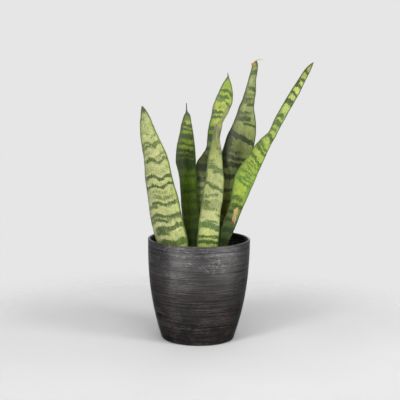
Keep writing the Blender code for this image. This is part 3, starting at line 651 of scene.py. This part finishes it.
def leaf_material(name, skin, seed):
    material, graph, shader = new_material(name + "_skin")
    side = graph.attribute("side")
    rise = graph.attribute("rise")
    lateral = graph.attribute("lateral")
    rim = graph.attribute("rim")

    def over_blade(number, up, *looks):
        """Noise over the blade, drawn out along it where up is under 1."""
        point = graph.place(lateral, graph.times(rise, up), float(seed * number))
        return graph.noise(point, *looks)

    # The bands wander and have ragged edges, so their height is read off a wobbling ruler.
    swing, peak, period = skin["wave"]
    turn = 2 * math.pi / period
    wave = graph.math("COSINE", graph.math("MULTIPLY_ADD", side, turn, -peak * turn))
    jag = over_blade(53, 0.3, 0.75, 3.0, 0.75)
    height = graph.math("MULTIPLY_ADD", wave, -swing, rise)
    height = graph.shift(height, over_blade(37, 1.0, 0.11, 1.0), 5.0)
    height = graph.shift(height, jag, 6.5)
    height = graph.shift(height, over_blade(83, 0.5, 0.3, 2.0, 0.6), 4.0)
    along = graph.shift(side, over_blade(71, 1.0, 0.3, 2.0, 0.6), 0.9)
    ruler = {"Height": height, "Side": along}

    mask = 0.0
    for band in skin["bands"]:
        feeds = {**BAND_USUAL, **dict(zip(BAND_INPUTS, band)), **ruler}
        found = graph.add("ShaderNodeGroup", feeds, node_tree=BAND).outputs[0]
        mask = graph.math("MAXIMUM", mask, found)

    # Weak bands break up into flecks; strong ones stay whole.
    mottle = over_blade(11, 0.7, 0.55, 4.0, 0.7)
    flecks = graph.times(mask, graph.math("MULTIPLY_ADD", mottle, 2.6, -0.3))
    dark = graph.spread(flecks, 0.3, 0.68)
    halo = graph.spread(flecks, 0.02, 0.45, 0.0, 0.42)

    share = graph.linear(rise, RAMP_LOW, RAMP_HIGH)
    ground = graph.ramp(share, ramp_stops(skin["ground"]))
    deep = graph.ramp(share, ramp_stops(skin["dark"]))
    for margin, start, end in (("left", -0.25, -1.0), ("right", 0.6, 1.0)):
        tint, amount = skin[margin]
        ground = graph.mix(graph.spread(side, start, end, 0.0, amount), ground, skin_tone(tint))

    # Yellower patches, soft cloudy mottling, then fine streaks that run up the leaf.
    tinge = over_blade(29, 1.0, 0.07, 3.0, 0.55)
    warmer = graph.mix(1.0, ground, WARM_TINT, "MULTIPLY")
    ground = graph.mix(graph.spread(tinge, 0.47, 0.66, 0.0, 0.75), ground, warmer)
    cloud = over_blade(37, 1.0, 0.16, 4.0, 0.62)
    cloudy = graph.mix(graph.spread(cloud, 0.46, 0.7, 0.0, 0.4), ground, deep)
    speck = over_blade(37, 1.0, 0.75, 4.0, 0.72)
    cloudy = graph.mix(graph.spread(speck, 0.51, 0.66, 0.0, 0.62), cloudy, deep)
    streak_at = graph.place(graph.times(lateral, 0.8), graph.times(rise, 0.12), float(seed * 7))
    streak = graph.noise(streak_at, 1.0, 3.0, 0.6)
    deep_streaked = graph.mix(graph.spread(streak, 0.45, 0.8, 0.0, 0.2), deep, ground)
    deep_streaked = graph.mix(graph.spread(speck, 0.5, 0.68, 0.0, 0.28), deep_streaked, ground)
    halo = graph.math("MULTIPLY", halo, graph.linear(speck, 0.36, 0.64, 0.3, 1.7), clamp=True)
    colour = graph.mix(dark, graph.mix(halo, cloudy, deep), deep_streaked)
    colour = graph.shaded(colour, graph.linear(streak, 0.3, 0.7, 0.8, 1.25))

    # The margin: a dark green line with a thin horny edge outside it.
    line = graph.spread(graph.shift(rim, jag, 1.2), 0.5, 2.3, 0.9, 0.0)
    colour = graph.mix(line, colour, deep)
    horn = graph.spread(rim, 0.05, 0.3, 0.55, 0.0)
    colour = graph.mix(horn, colour, tone(126, 118, 74))

    for *place, tint, strength in skin["spots"]:
        feeds = dict(zip(SPOT_INPUTS, (*place, strength)), **ruler)
        found = graph.add("ShaderNodeGroup", feeds, node_tree=SPOT).outputs[0]
        colour = graph.mix(found, colour, skin_tone(tint))

    pores = graph.noise(object_mm(graph), 1.4, 3.0, 0.7)
    roughness = graph.linear(graph.math("ADD", pores, dark), 0.3, 1.7, 0.5, 0.36)
    relief = graph.math("MULTIPLY_ADD", streak, 0.7, graph.times(pores, 0.22))
    relief = graph.math("MULTIPLY_ADD", dark, -0.12, relief)
    wire(graph, shader, colour=colour, roughness=roughness, normal=graph.bump(relief, 0.00035, 0.6))
    shader.inputs["Specular IOR Level"].default_value = 0.24
    return material


def smooth_between(rows, height):
    """Every value of the station table at a height, on a smooth curve through the rows."""
    index = 0
    while index < len(rows) - 2 and rows[index + 1][0] < height:
        index += 1
    low, high = rows[index], rows[index + 1]
    span = high[0] - low[0]
    share = (height - low[0]) / span

    def slope(row, column):
        before = rows[max(row - 1, 0)]
        after = rows[min(row + 1, len(rows) - 1)]
        return (after[column] - before[column]) / (after[0] - before[0])

    values = [height]
    for column in range(1, len(low)):
        first, last = slope(index, column) * span, slope(index + 1, column) * span
        rise = high[column] - low[column]
        values.append(
            low[column]
            + first * share
            + (3 * rise - 2 * first - last) * share**2
            + (first + last - 2 * rise) * share**3
        )
    return values


def steps_between(rows):
    """Ring heights: close together near the tip, wider apart lower down."""
    heights = []
    height = rows[0][0]
    top = rows[-1][0]
    while height < top - 0.2:
        heights.append(height)
        height += RING_STEP if top - height > TIP_LENGTH else TIP_STEP
    heights.append(top)
    return heights


def bend(value, low, high):
    """0 below low, 1 above high, smooth between."""
    share = min(max((value - low) / (high - low), 0.0), 1.0)
    return share * share * (3 - 2 * share)


def leaf_object(name, rows, seed):
    bm = bmesh.new()
    layers = {key: bm.verts.layers.float.new(key) for key in ("side", "rise", "lateral", "rim")}
    rings = []
    reach = 0.5  # mm up and down that show which way the blade runs
    for height in steps_between(rows):
        _, x, y, width, facing, channel, thickness = smooth_between(rows, height)
        below = smooth_between(rows, max(height - reach, rows[0][0]))
        above = smooth_between(rows, min(height + reach, rows[-1][0]))
        along = Vector((above[1] - below[1], above[2] - below[2], above[0] - below[0]))
        if height == rows[0][0]:
            along = Vector((0, 0, 1))
        along.normalize()
        turned = math.radians(facing)
        across = Vector((math.cos(turned), math.sin(turned), 0))
        across = (across - along * across.dot(along)).normalized()
        front = across.cross(along)
        centre = Vector((x, y, height))
        half_width = width / 2
        half_thickness = thickness / 2
        calm = min(1.0, half_width / 5)  # less unevenness where the blade is narrow
        ring = []
        for step in range(SECTION_POINTS):
            angle = 2 * math.pi * step / SECTION_POINTS
            side = math.cos(angle)
            lateral = side * half_width
            ragged = noise.noise(Vector((side * 0.4, height * 0.16, seed * 5.0)))
            ripple = noise.noise(Vector((lateral * 0.09, height * 0.045, seed * 9.0)))
            ridge = noise.noise(Vector((lateral * 0.55, height * 0.012, seed * 3.0)))
            bead = 1 + BEAD * bend(abs(side), 0.86, 0.97) * (abs(math.sin(angle)) > 0.05)
            depth = channel * (side**2 - 1 / 3)
            depth += half_thickness * math.sin(angle) * bead
            depth += calm * (RIPPLE * ripple + RIDGE * ridge)
            if name == "leaf_tall_centre":
                depth += centre_fold(height, side) * half_width
            wide = lateral + side * abs(side) * ragged * RAGGED * calm
            vertex = bm.verts.new((centre + across * wide + front * depth) * MM)
            vertex[layers["side"]] = side
            vertex[layers["rise"]] = height
            vertex[layers["lateral"]] = lateral
            vertex[layers["rim"]] = (1 - abs(side)) * half_width
            ring.append(vertex)
        rings.append(ring)
    join_rings(bm, rings)
    for ring, lift in ((rings[0], 0.0), (rings[-1], 0.35)):
        hub = bm.verts.new(sum((v.co for v in ring), Vector()) / SECTION_POINTS)
        hub.co.z += lift * MM
        hub[layers["rise"]] = ring[0][layers["rise"]]
        hub[layers["rim"]] = ring[SECTION_POINTS // 4][layers["rim"]]
        for step in range(SECTION_POINTS):
            bm.faces.new((ring[step], ring[(step + 1) % SECTION_POINTS], hub))
    if name == "leaf_tall_rear":
        dry_tip(bm, rings, layers)
    bmesh.ops.recalc_face_normals(bm, faces=bm.faces)
    return object_from(bm, name + "_blade")


def centre_fold(height, side):
    """The right margin of the tall centre leaf folds back over part of its length."""
    length = bend(height, 262, 272) * (1 - bend(height, 288, 298))
    return -0.5 * length * max(0.0, side - 0.45)


def dry_tip(bm, rings, layers):
    """The rear leaf's tip has dried off: a ragged end with one dry fibre standing out of it."""
    for ring, share in ((rings[-1], 1.0), (rings[-2], 0.5), (rings[-3], 0.2)):
        for vertex in ring:
            side = vertex[layers["side"]]
            ragged = 0.9 * noise.noise(Vector((side * 2.6, 4.0, 1.0))) + 0.7 * side
            vertex.co.z += share * ragged * MM
    start = rings[-1][2].co.copy()
    offsets = ((-1.4, 0, -1.2), (0.4, 0, 0.4), (3.0, 0.3, 1.2), (5.8, 0.5, 1.0), (8.6, 0.3, 1.6))
    radii = (0.5, 0.42, 0.3, 0.2, 0.08)
    path = [start + Vector(offset) * MM for offset in offsets]
    loops = []
    for number, point in enumerate(path):
        ahead = path[min(number + 1, len(path) - 1)] - path[max(number - 1, 0)]
        ahead.normalize()
        up = Vector((0, 1, 0)).cross(ahead).normalized()
        out = ahead.cross(up)
        loop = []
        for step in range(FIBRE_SIDES):
            angle = 2 * math.pi * step / FIBRE_SIDES
            way = up * math.cos(angle) + out * math.sin(angle)
            vertex = bm.verts.new(point + way * radii[number] * MM)
            vertex[layers["side"]] = -0.3
            vertex[layers["rise"]] = 345.0
            vertex[layers["rim"]] = 4.0
            loop.append(vertex)
        loops.append(loop)
    join_rings(bm, loops)
    bm.faces.new(loops[0])
    bm.faces.new(loops[-1])


# ---- turned pieces ----


def smooth(mesh):
    for polygon in mesh.polygons:
        polygon.use_smooth = True


def add_object(name, data):
    obj = bpy.data.objects.new(name, data)
    bpy.context.scene.collection.objects.link(obj)
    return obj


def object_from(bm, name):
    mesh = bpy.data.meshes.new(name)
    bm.to_mesh(mesh)
    bm.free()
    smooth(mesh)
    return add_object(name, mesh)


def round_point(radius, height, angle):
    return Vector((radius * math.cos(angle), radius * math.sin(angle), height))


def ring_at(bm, radius, height, steps, wobble=None):
    """A ring of vertices around the axis, or one vertex on it where the radius is 0."""
    if radius == 0:
        return [bm.verts.new((0, 0, height * MM))]
    ring = []
    for step in range(steps):
        angle = 2 * math.pi * step / steps
        reach, rise = wobble(radius, height, angle) if wobble else (radius, height)
        ring.append(bm.verts.new(round_point(reach, rise, angle) * MM))
    return ring


def join_rings(bm, rings):
    """Faces between each ring and the next. A ring may be one vertex."""
    steps = max(len(ring) for ring in rings)
    for first, second in zip(rings, rings[1:]):
        for step in range(steps):
            after = (step + 1) % steps
            corners = (first[step % len(first)], first[after % len(first)],
                       second[after % len(second)], second[step % len(second)])
            bm.faces.new(list(dict.fromkeys(corners)))


def lathe(name, points, steps, wobble=None):
    """A closed outline of (radius, height) points from the axis back to the axis, turned once."""
    bm = bmesh.new()
    join_rings(bm, [ring_at(bm, radius, height, steps, wobble) for radius, height in points])
    bmesh.ops.recalc_face_normals(bm, faces=bm.faces)
    return object_from(bm, name)


def arc(centre_radius, centre_height, radius, start, end, count):
    """Points on a rounded corner of an outline, angles in degrees from the outward direction."""
    points = []
    for number in range(count + 1):
        angle = math.radians(start + (end - start) * number / count)
        across, up = radius * math.cos(angle), radius * math.sin(angle)
        points.append((centre_radius + across, centre_height + up))
    return points


def planter_radius(height):
    drop = 1 - height / PLANTER_HEIGHT
    return PLANTER_RADIUS - PLANTER_TAPER * drop**PLANTER_CURVE


def planter_profile():
    """From the middle of the inside floor, up the inner wall, over the lip and down outside."""
    lip_low = PLANTER_HEIGHT - LIP_HEIGHT
    inner = PLANTER_RADIUS - LIP_WIDTH
    points = [(0, PLANTER_FLOOR), (20, PLANTER_FLOOR)]
    foot_inside = planter_radius(6) - PLANTER_WALL - INSIDE_ROUND
    points += arc(foot_inside, PLANTER_FLOOR + INSIDE_ROUND, INSIDE_ROUND, -90, 0, 6)
    height = 9.0
    while height < lip_low - 2.5:
        points.append((planter_radius(height) - PLANTER_WALL, height))
        height += 4.0
    points.append((planter_radius(lip_low - 2) - PLANTER_WALL, lip_low - 2))
    points.append((inner + 0.15, lip_low - 0.2))
    points.append((inner, lip_low + 0.3))
    points += arc(inner + LIP_ROUND, PLANTER_HEIGHT - LIP_ROUND, LIP_ROUND, 180, 90, 5)
    points += arc(PLANTER_RADIUS - LIP_ROUND, PLANTER_HEIGHT - LIP_ROUND, LIP_ROUND, 90, 0, 5)
    height = PLANTER_HEIGHT - 1.6
    while height > FOOT_ROUND + 0.5:
        above = (PLANTER_HEIGHT - RING_DROP - height) / RING_WIDTH
        groove = RING_DEPTH * math.exp(-(above**2))
        points.append((planter_radius(height) - groove, height))
        height -= 0.5 if height > PLANTER_HEIGHT - 12 else 2.0
    foot = planter_radius(FOOT_ROUND)
    points += arc(foot - FOOT_ROUND, FOOT_ROUND, FOOT_ROUND, 0, -90, 7)
    points.append((20, 0))
    points.append((0, 0))
    return points


def planter_wobble(radius, height, angle):
    """The slight unevenness of spun sheet metal."""
    if radius < 30 or height < FOOT_ROUND + 1:
        return radius, height
    way = Vector((math.cos(angle) * 1.4, math.sin(angle) * 1.4, height * 0.035))
    return radius + 0.12 * noise.noise(way), height


def metal_material():
    material, graph, shader = new_material("brushed_graphite_metal")
    point = object_mm(graph)
    height = height_of(graph, point)
    radius = distance_of(graph, stretched(graph, point, 1.0, 1.0, 0.0))
    drop = graph.linear(height, 0.0, PLANTER_HEIGHT, 1.0, 0.0)
    narrowing = graph.times(graph.math("POWER", drop, PLANTER_CURVE), PLANTER_TAPER)
    outer = graph.less(PLANTER_RADIUS, narrowing)
    inside = graph.spread(graph.less(outer, radius), 0.5, 1.1)
    broad = brushed(graph, point, 0.02, 0.1, 3.0, 0.55)
    lines = brushed(graph, point, 0.009, 1.7, 4.0, 0.72)
    hair = brushed(graph, point, 0.03, 3.4, 3.0, 0.6)
    patch = brushed(graph, point, 0.045, 0.06, 3.0, 0.55)
    grain = brushed(graph, point, 0.3, 0.8, 4.0, 0.7)

    # Darker towards the bottom and lighter towards the top: painted shade and painted light, as the
    # wall turns down away from the lamps.
    base = graph.ramp(graph.linear(height, 0.0, PLANTER_HEIGHT), [
        (0.0, tone(54, 50, 49)), (0.04, tone(41, 38, 37)), (0.2, tone(42, 39, 38)),
        (0.45, tone(63, 60, 59)), (0.7, tone(84, 81, 80)), (0.9, tone(96, 94, 94)),
        (1.0, tone(94, 92, 91)),
    ])
    # Darker and lighter brushed lines on top of broad uneven bands.
    colour = graph.shaded(base, graph.linear(broad, 0.3, 0.7, 0.84, 1.16))
    colour = graph.mix(graph.spread(lines, 0.5, 0.38, 0.0, 0.45), colour, tone(26, 25, 25))
    colour = graph.mix(graph.spread(hair, 0.48, 0.36, 0.0, 0.5), colour, tone(30, 29, 29))
    light_hair = graph.spread(hair, 0.55, 0.66, 0.0, 0.6)
    light_lines = graph.math("MAXIMUM", graph.spread(lines, 0.52, 0.62), light_hair)
    worn = graph.times(light_lines, graph.spread(grain, 0.42, 0.56, 0.25, 1.0))
    worn = graph.times(worn, graph.spread(patch, 0.42, 0.6, 0.25, 0.85))
    colour = graph.mix(worn, colour, tone(138, 136, 135))
    colour = graph.mix(inside, colour, graph.mix(hair, tone(50, 48, 48), tone(70, 67, 67)))
    # Bright flecks, most of them near the top: painted glints where the lamps' highlights fall.
    flecks = graph.times(graph.spread(grain, 0.54, 0.66), graph.spread(height, 80.0, 104.0, 0.04, 0.72))
    flecks = graph.times(flecks, graph.spread(patch, 0.42, 0.58))
    colour = graph.mix(flecks, colour, tone(174, 172, 171))
    # Painted reflection: a faint warm tint of a wooden table in the lower half, which faces down
    # towards it.
    painted_table_reflection = graph.times(graph.spread(patch, 0.48, 0.66, 0.0, 0.45), graph.spread(height, 95.0, 40.0))
    colour = graph.mix(painted_table_reflection, colour, tone(58, 46, 43))

    # A lighter lip, partly rubbed metal and partly a painted highlight on its rounded top; painted
    # shade in the turned groove below it; and a rubbed foot.
    lip = graph.spread(height, PLANTER_HEIGHT - 0.75, PLANTER_HEIGHT - 0.15, 0.0, 0.7)
    colour = graph.mix(lip, colour, tone(118, 116, 115))
    ring = graph.math("ABSOLUTE", graph.less(height, PLANTER_HEIGHT - RING_DROP))
    colour = graph.mix(graph.spread(ring, 0.2, 0.8, 0.55, 0.0), colour, tone(34, 33, 33))
    foot = graph.spread(graph.math("ADD", height, graph.times(grain, 1.2)), 2.4, 0.9, 0.0, 0.55)
    colour = graph.mix(foot, colour, tone(104, 100, 98))

    roughness = graph.linear(graph.math("ADD", lines, hair), 0.7, 1.3, 0.22, 0.34)
    metallic = graph.linear(inside, 0.0, 1.0, 0.95, 0.2)
    relief = graph.math("MULTIPLY_ADD", lines, 0.7, graph.times(hair, 0.3))
    relief = graph.math("MULTIPLY_ADD", grain, 0.55, relief)
    normal = graph.bump(relief, 0.0006, 0.8)
    wire(graph, shader, colour=colour, roughness=roughness, metallic=metallic, normal=normal)
    shader.inputs["Specular Tint"].default_value = (0.42, 0.42, 0.42, 1)
    return material


def pot_radius(height):
    band_low = POT_RIM_Z - POT_BAND_HEIGHT
    share = (height - POT_BASE_Z) / (band_low - POT_BASE_Z)
    return POT_BASE_RADIUS + (POT_BODY_RADIUS - POT_BASE_RADIUS) * share


def pot_profile():
    """From the middle of the raised floor's top, up inside, over the lip, down to the foot."""
    band_low = POT_RIM_Z - POT_BAND_HEIGHT
    floor_low = POT_BASE_Z + POT_FLOOR_RAISED
    floor_top = floor_low + POT_WALL
    inner = POT_BAND_RADIUS - POT_WALL
    rim, lip, band, body = POT_RIM_Z, POT_LIP_RADIUS, POT_BAND_RADIUS, POT_BODY_RADIUS
    foot = POT_BASE_RADIUS - POT_FOOT_WIDTH
    points = [(0, floor_top), (18, floor_top)]
    points += arc(pot_radius(floor_top) - POT_WALL - 1.5, floor_top + 1.5, 1.5, -90, 0, 4)
    points += [(pot_radius(height) - POT_WALL, height) for height in (20, 35, 50, 65, 78)]
    points += [
        (body - POT_WALL, band_low), (inner - 0.3, band_low + 1.0), (inner, band_low + 1.5),
        (inner + 0.3, rim - 1.6), (inner + 0.6, rim - 0.6), (band + 0.2, rim - 0.1),
    ]
    points += arc(lip - 0.6, rim - 0.6, 0.6, 90, 0, 4)
    points += [
        (lip, rim - 1.9), (lip - 0.15, rim - 2.0), (lip - 0.8, rim - 2.0), (lip - 1.2, rim - 1.2),
        (band + 0.4, rim - 1.3), (band + 0.1, rim - 1.8), (band, band_low + 0.2),
        (band - 0.3, band_low - 0.1), (body + 0.2, band_low - 0.9), (body - 0.1, band_low - 1.4),
    ]
    points += [(pot_radius(height), height) for height in (78, 65, 50, 35, 20, 8)]
    points += arc(pot_radius(POT_BASE_Z) - 1.1, POT_BASE_Z + 1.1, 1.1, 0, -90, 4)
    points += [
        (foot, POT_BASE_Z), (foot - 0.4, POT_BASE_Z + 0.4), (foot - 0.6, floor_low),
        (18, floor_low), (0, floor_low),
    ]
    return points


def nursery_pot():
    pot = lathe("nursery_pot_shell", pot_profile(), POT_STEPS)
    bm = bmesh.new()
    for number in range(DRAIN_HOLES):
        angle = 2 * math.pi * (number + 0.5) / DRAIN_HOLES
        where = Matrix.Translation(round_point(DRAIN_CIRCLE, POT_BASE_Z + 3, angle) * MM)
        bmesh.ops.create_cone(bm, cap_ends=True, segments=28, radius1=DRAIN_RADIUS * MM,
                              radius2=DRAIN_RADIUS * MM, depth=10 * MM, matrix=where)
    cutter = object_from(bm, "drain_cutter")
    cut = pot.modifiers.new("drain", "BOOLEAN")
    cut.operation = "DIFFERENCE"
    cut.solver = "EXACT"
    cut.object = cutter
    scene_now = bpy.context.evaluated_depsgraph_get()
    mesh = bpy.data.meshes.new_from_object(pot.evaluated_get(scene_now))
    pot.modifiers.clear()
    pot.data = mesh
    bpy.data.objects.remove(cutter, do_unlink=True)
    smooth(mesh)
    mesh.set_sharp_from_angle(angle=math.radians(50))
    return pot


def plastic_material():
    material, graph, shader = new_material("moulded_black_plastic")
    point = object_mm(graph)
    height = height_of(graph, point)
    dust = brushed(graph, point, 0.08, 0.05, 4.0, 0.6)
    speck = graph.noise(point, 0.9, 3.0, 0.6)
    colour = graph.mix(graph.spread(dust, 0.45, 0.7, 0.0, 0.35), tone(30, 30, 31), tone(66, 60, 54))
    soil = graph.times(graph.spread(speck, 0.58, 0.7), graph.spread(height, 60.0, 92.0, 0.05, 0.5))
    colour = graph.mix(soil, colour, tone(76, 62, 48))
    roughness = graph.linear(speck, 0.3, 0.7, 0.42, 0.6)
    rings = graph.math("SINE", graph.times(height, 5.5))
    relief = graph.math("MULTIPLY_ADD", rings, 0.05, graph.times(speck, 0.4))
    wire(graph, shader, colour=colour, roughness=roughness, normal=graph.bump(relief, 0.0003, 0.5))
    return material


# ---- potting mix ----


def mix_height(radius):
    """The heaped surface of the mix at a distance from the middle."""
    return MIX_EDGE_Z + (MIX_CROWN_Z - MIX_EDGE_Z) * (1 - bend(radius, 8, 50))


def mix_radius(height):
    return pot_radius(height) - POT_WALL - GAP


def leaf_keepouts():
    """Where the leaves stand at the surface of the mix: centre, facing, half width."""
    stands = []
    for rows in LEAVES.values():
        _, x, y, width, facing, _, _ = smooth_between(rows, MIX_CROWN_Z - 1)
        stands.append((x, y, math.radians(facing), width / 2))
    return stands


def clear_of_leaves(x, y, size, stands):
    for centre_x, centre_y, facing, half in stands:
        over = (x - centre_x) * math.cos(facing) + (y - centre_y) * math.sin(facing)
        out = -(x - centre_x) * math.sin(facing) + (y - centre_y) * math.cos(facing)
        if abs(over) < half + size and abs(out) < 4.5 + size:
            return False
    return True


def potting_mix():
    """A crumbly heaped body of mix with loose crumbs and bark chips lying on it."""
    bm = bmesh.new()
    kind = bm.verts.layers.float.new("kind")
    wall = mix_radius(MIX_EDGE_Z)
    floor_top = POT_BASE_Z + POT_FLOOR_RAISED + POT_WALL + GAP

    def lumpy(radius, height, angle):
        """Lumps on the surface, which calm down towards the wall."""
        x, y = radius * math.cos(angle), radius * math.sin(angle)
        lump = 1.3 * noise.noise(Vector((x * 0.14, y * 0.14, 2.0)))
        lump += 0.7 * noise.noise(Vector((x * 0.5, y * 0.5, 5.0)))
        lump *= 1 - bend(radius, wall - 2.5, wall)
        return radius, height + lump - 0.4

    rings = [ring_at(bm, 0, mix_height(0), MIX_STEPS)]
    for share in range(1, MIX_RINGS + 1):
        radius = wall * share / MIX_RINGS
        rings.append(ring_at(bm, radius, mix_height(radius), MIX_STEPS, lumpy))
    for height in (MIX_EDGE_Z - 6, 70, 50, 30, 15, floor_top + 1.5):
        rings.append(ring_at(bm, mix_radius(height), height, MIX_STEPS))
    rings.append(ring_at(bm, mix_radius(floor_top) - 1.8, floor_top, MIX_STEPS))
    rings.append(ring_at(bm, 0, floor_top, MIX_STEPS))
    join_rings(bm, rings)

    draw = random.Random(11)
    stands = leaf_keepouts()
    for number in range(CRUMBS):
        angle = draw.uniform(0, 2 * math.pi)
        radius = (wall - 3) * math.sqrt(draw.random())
        chip = draw.random() < CHIP_SHARE
        size = draw.uniform(1.6, 3.4) if chip else draw.uniform(0.7, 1.9)
        turn = Matrix.Rotation(draw.uniform(0, 6.3), 4, "Z")
        turn = turn @ Matrix.Rotation(draw.uniform(-0.5, 0.5), 4, "X")
        x, y = radius * math.cos(angle), radius * math.sin(angle)
        if not clear_of_leaves(x, y, size, stands):
            continue
        scale = (1.0, 0.55, 0.28) if chip else (1.0, 0.85, 0.7)
        rest = Vector((x, y, mix_height(radius) + size * scale[2] * 0.4))
        made = bmesh.ops.create_icosphere(bm, subdivisions=2, radius=1.0)["verts"]
        for vertex in made:
            way = vertex.co.copy()
            rough = 1 + 0.35 * noise.noise(way * 1.7 + Vector((number * 3.1, 0, 0)))
            shaped = Vector((way.x * scale[0], way.y * scale[1], way.z * scale[2])) * size * rough
            vertex.co = (rest + turn @ shaped) * MM
            vertex[kind] = 0.5 + 0.5 * draw.random() if chip else 0.3 * ((number * 7) % 10) / 10
    bmesh.ops.recalc_face_normals(bm, faces=bm.faces)
    return object_from(bm, "potting_mix_surface")


def mix_material():
    material, graph, shader = new_material("peat_and_bark")
    point = object_mm(graph)
    kind = graph.attribute("kind")
    crumb = graph.noise(point, 0.55, 5.0, 0.7)
    fine = graph.noise(point, 2.4, 3.0, 0.7)
    peat = graph.mix(graph.spread(crumb, 0.38, 0.66), tone(44, 33, 26), tone(92, 70, 52))
    bark = graph.mix(graph.spread(fine, 0.35, 0.65), tone(88, 58, 38), tone(142, 104, 70))
    colour = graph.mix(graph.spread(kind, 0.35, 0.9), peat, bark)
    relief = graph.math("ADD", crumb, graph.times(fine, 0.5))
    roughness = graph.linear(fine, 0.2, 0.8, 0.82, 0.98)
    wire(graph, shader, colour=colour, roughness=roughness, normal=graph.bump(relief, 0.0012, 0.9))
    return material


def rhizome_material():
    material, graph, shader = new_material("rhizome_skin")
    point = object_mm(graph)
    rings = graph.noise(stretched(graph, point, 0.5, 0.12, 0.12), 1.0, 4.0, 0.6)
    spots = graph.noise(point, 0.5, 4.0, 0.6)
    colour = graph.mix(graph.spread(rings, 0.35, 0.65), tone(206, 172, 120), tone(166, 126, 78))
    colour = graph.mix(graph.spread(spots, 0.52, 0.7, 0.0, 0.6), colour, tone(112, 76, 46))
    roughness = graph.linear(spots, 0.3, 0.7, 0.55, 0.8)
    wire(graph, shader, colour=colour, roughness=roughness, normal=graph.bump(rings, 0.0008, 0.8))
    return material


# ---- stage, lights and camera ----


def backdrop_material():
    material, graph, shader = new_material("pale_backdrop")
    point = graph.add("ShaderNodeTexCoord", {}).outputs["Object"]
    soft = graph.noise(point, 3.0, 3.0, 0.5)
    colour = graph.mix(graph.linear(soft, 0.3, 0.7), tone(228, 228, 229), tone(237, 237, 238))
    graph.tree.links.new(colour, shader.inputs["Base Color"])
    shader.inputs["Roughness"].default_value = 0.85
    shader.inputs["Specular IOR Level"].default_value = 0.2
    return material


def floor():
    """A pale round floor that fades out into the pale surroundings."""
    material = backdrop_material()
    graph = Graph(material.node_tree)
    shader = material.node_tree.nodes["Principled BSDF"]
    point = graph.add("ShaderNodeTexCoord", {}).outputs["Object"]
    clear = graph.add("ShaderNodeBsdfTransparent", {}).outputs[0]
    share = graph.spread(distance_of(graph, point), FLOOR_SOLID, FLOOR_RADIUS)
    mixed = graph.add("ShaderNodeMixShader", {0: share, 1: shader.outputs[0], 2: clear}).outputs[0]
    graph.tree.links.new(mixed, graph.tree.nodes["Material Output"].inputs["Surface"])
    bm = bmesh.new()
    bmesh.ops.create_circle(bm, cap_ends=True, segments=96, radius=FLOOR_RADIUS)
    obj = object_from(bm, "floor")
    obj.data.materials.append(material)


def backdrop():
    """A reflecting cove behind the plant. It only lights the plant: no camera sees it."""
    bm = bmesh.new()
    outline = [(-3.2, 0.0), (-1.0, 0.0), (COVE_START, 0.0)]
    for number in range(1, 17):
        angle = math.radians(90 * number / 16)
        outline.append((COVE_START + COVE_BEND * math.sin(angle), COVE_BEND * (1 - math.cos(angle))))
    outline += [(COVE_START + COVE_BEND, 1.2), (COVE_START + COVE_BEND, 2.6)]
    columns = [-3.0, -1.0, 0.0, 1.0, 3.0]
    grid = [[bm.verts.new((x, y, z)) for x in columns] for y, z in outline]
    for first, second in zip(grid, grid[1:]):
        for number in range(len(columns) - 1):
            bm.faces.new((first[number], first[number + 1], second[number + 1], second[number]))
    obj = object_from(bm, "backdrop")
    obj.location.z = -COVE_DROP
    obj.visible_camera = False
    obj.data.materials.append(backdrop_material())


def soft_light(name, azimuth, elevation, distance, width, height, power):
    """A softbox aimed at the plant."""
    lamp = bpy.data.lights.new(name, "AREA")
    lamp.shape = "RECTANGLE"
    lamp.size, lamp.size_y = width, height
    lamp.energy = power
    obj = add_object(name, lamp)
    side, up = math.radians(azimuth), math.radians(elevation)
    way = Vector((math.sin(side) * math.cos(up), -math.cos(side) * math.cos(up), math.sin(up)))
    obj.location = Vector(LIGHT_AIM) + way * distance
    obj.rotation_euler = way.to_track_quat("Z", "Y").to_euler()


def lights():
    for name, setting in SOFTBOXES.items():
        soft_light(name, *setting)
    world = bpy.data.worlds.new("studio")
    bpy.context.scene.world = world
    world.use_nodes = True
    background = world.node_tree.nodes["Background"]
    background.inputs["Color"].default_value = (1, 1, 1, 1)
    # The surroundings look pale to the camera and add only a little light of their own.
    graph = Graph(world.node_tree)
    seen = graph.add("ShaderNodeLightPath", {}).outputs["Is Camera Ray"]
    strength = graph.linear(seen, 0.0, 1.0, WORLD_LIGHT, WORLD_SEEN)
    graph.tree.links.new(strength, background.inputs["Strength"])
    bpy.context.scene.view_settings.view_transform = "Standard"


def camera():
    data = bpy.data.cameras.new("view")
    data.sensor_width = CAMERA_SENSOR
    data.lens = CAMERA_LENS
    obj = add_object("view", data)
    obj.location = CAMERA_AT
    pitch = Matrix.Rotation(math.radians(90 - CAMERA_DOWN), 4, "X")
    roll = Matrix.Rotation(math.radians(CAMERA_ROLL), 4, "Z")
    obj.rotation_euler = (pitch @ roll).to_euler()
    bpy.context.scene.camera = obj


def fit_in(piece, material, body, node):
    """Gives a piece its material and puts it on its body in place of the CAD node."""
    piece.data.materials.append(material)
    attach(piece, body)
    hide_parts(node)


camera()
lights()
floor()
backdrop()

BAND = band_group()
SPOT = spot_group()

shell = lathe("planter_shell", planter_profile(), LATHE_STEPS, planter_wobble)
fit_in(shell, metal_material(), BODY_PLANTER, "planter")
fit_in(nursery_pot(), plastic_material(), BODY_PLANT, "grow_pot")
fit_in(potting_mix(), mix_material(), BODY_PLANT, "potting_mix")

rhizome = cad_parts["rhizome"]
rhizome.data.materials.clear()
rhizome.data.materials.append(rhizome_material())

for number, (name, rows) in enumerate(LEAVES.items(), 1):
    skin = leaf_material(name, SKINS[name], number)
    fit_in(leaf_object(name, rows, number), skin, BODY_PLANT, name)
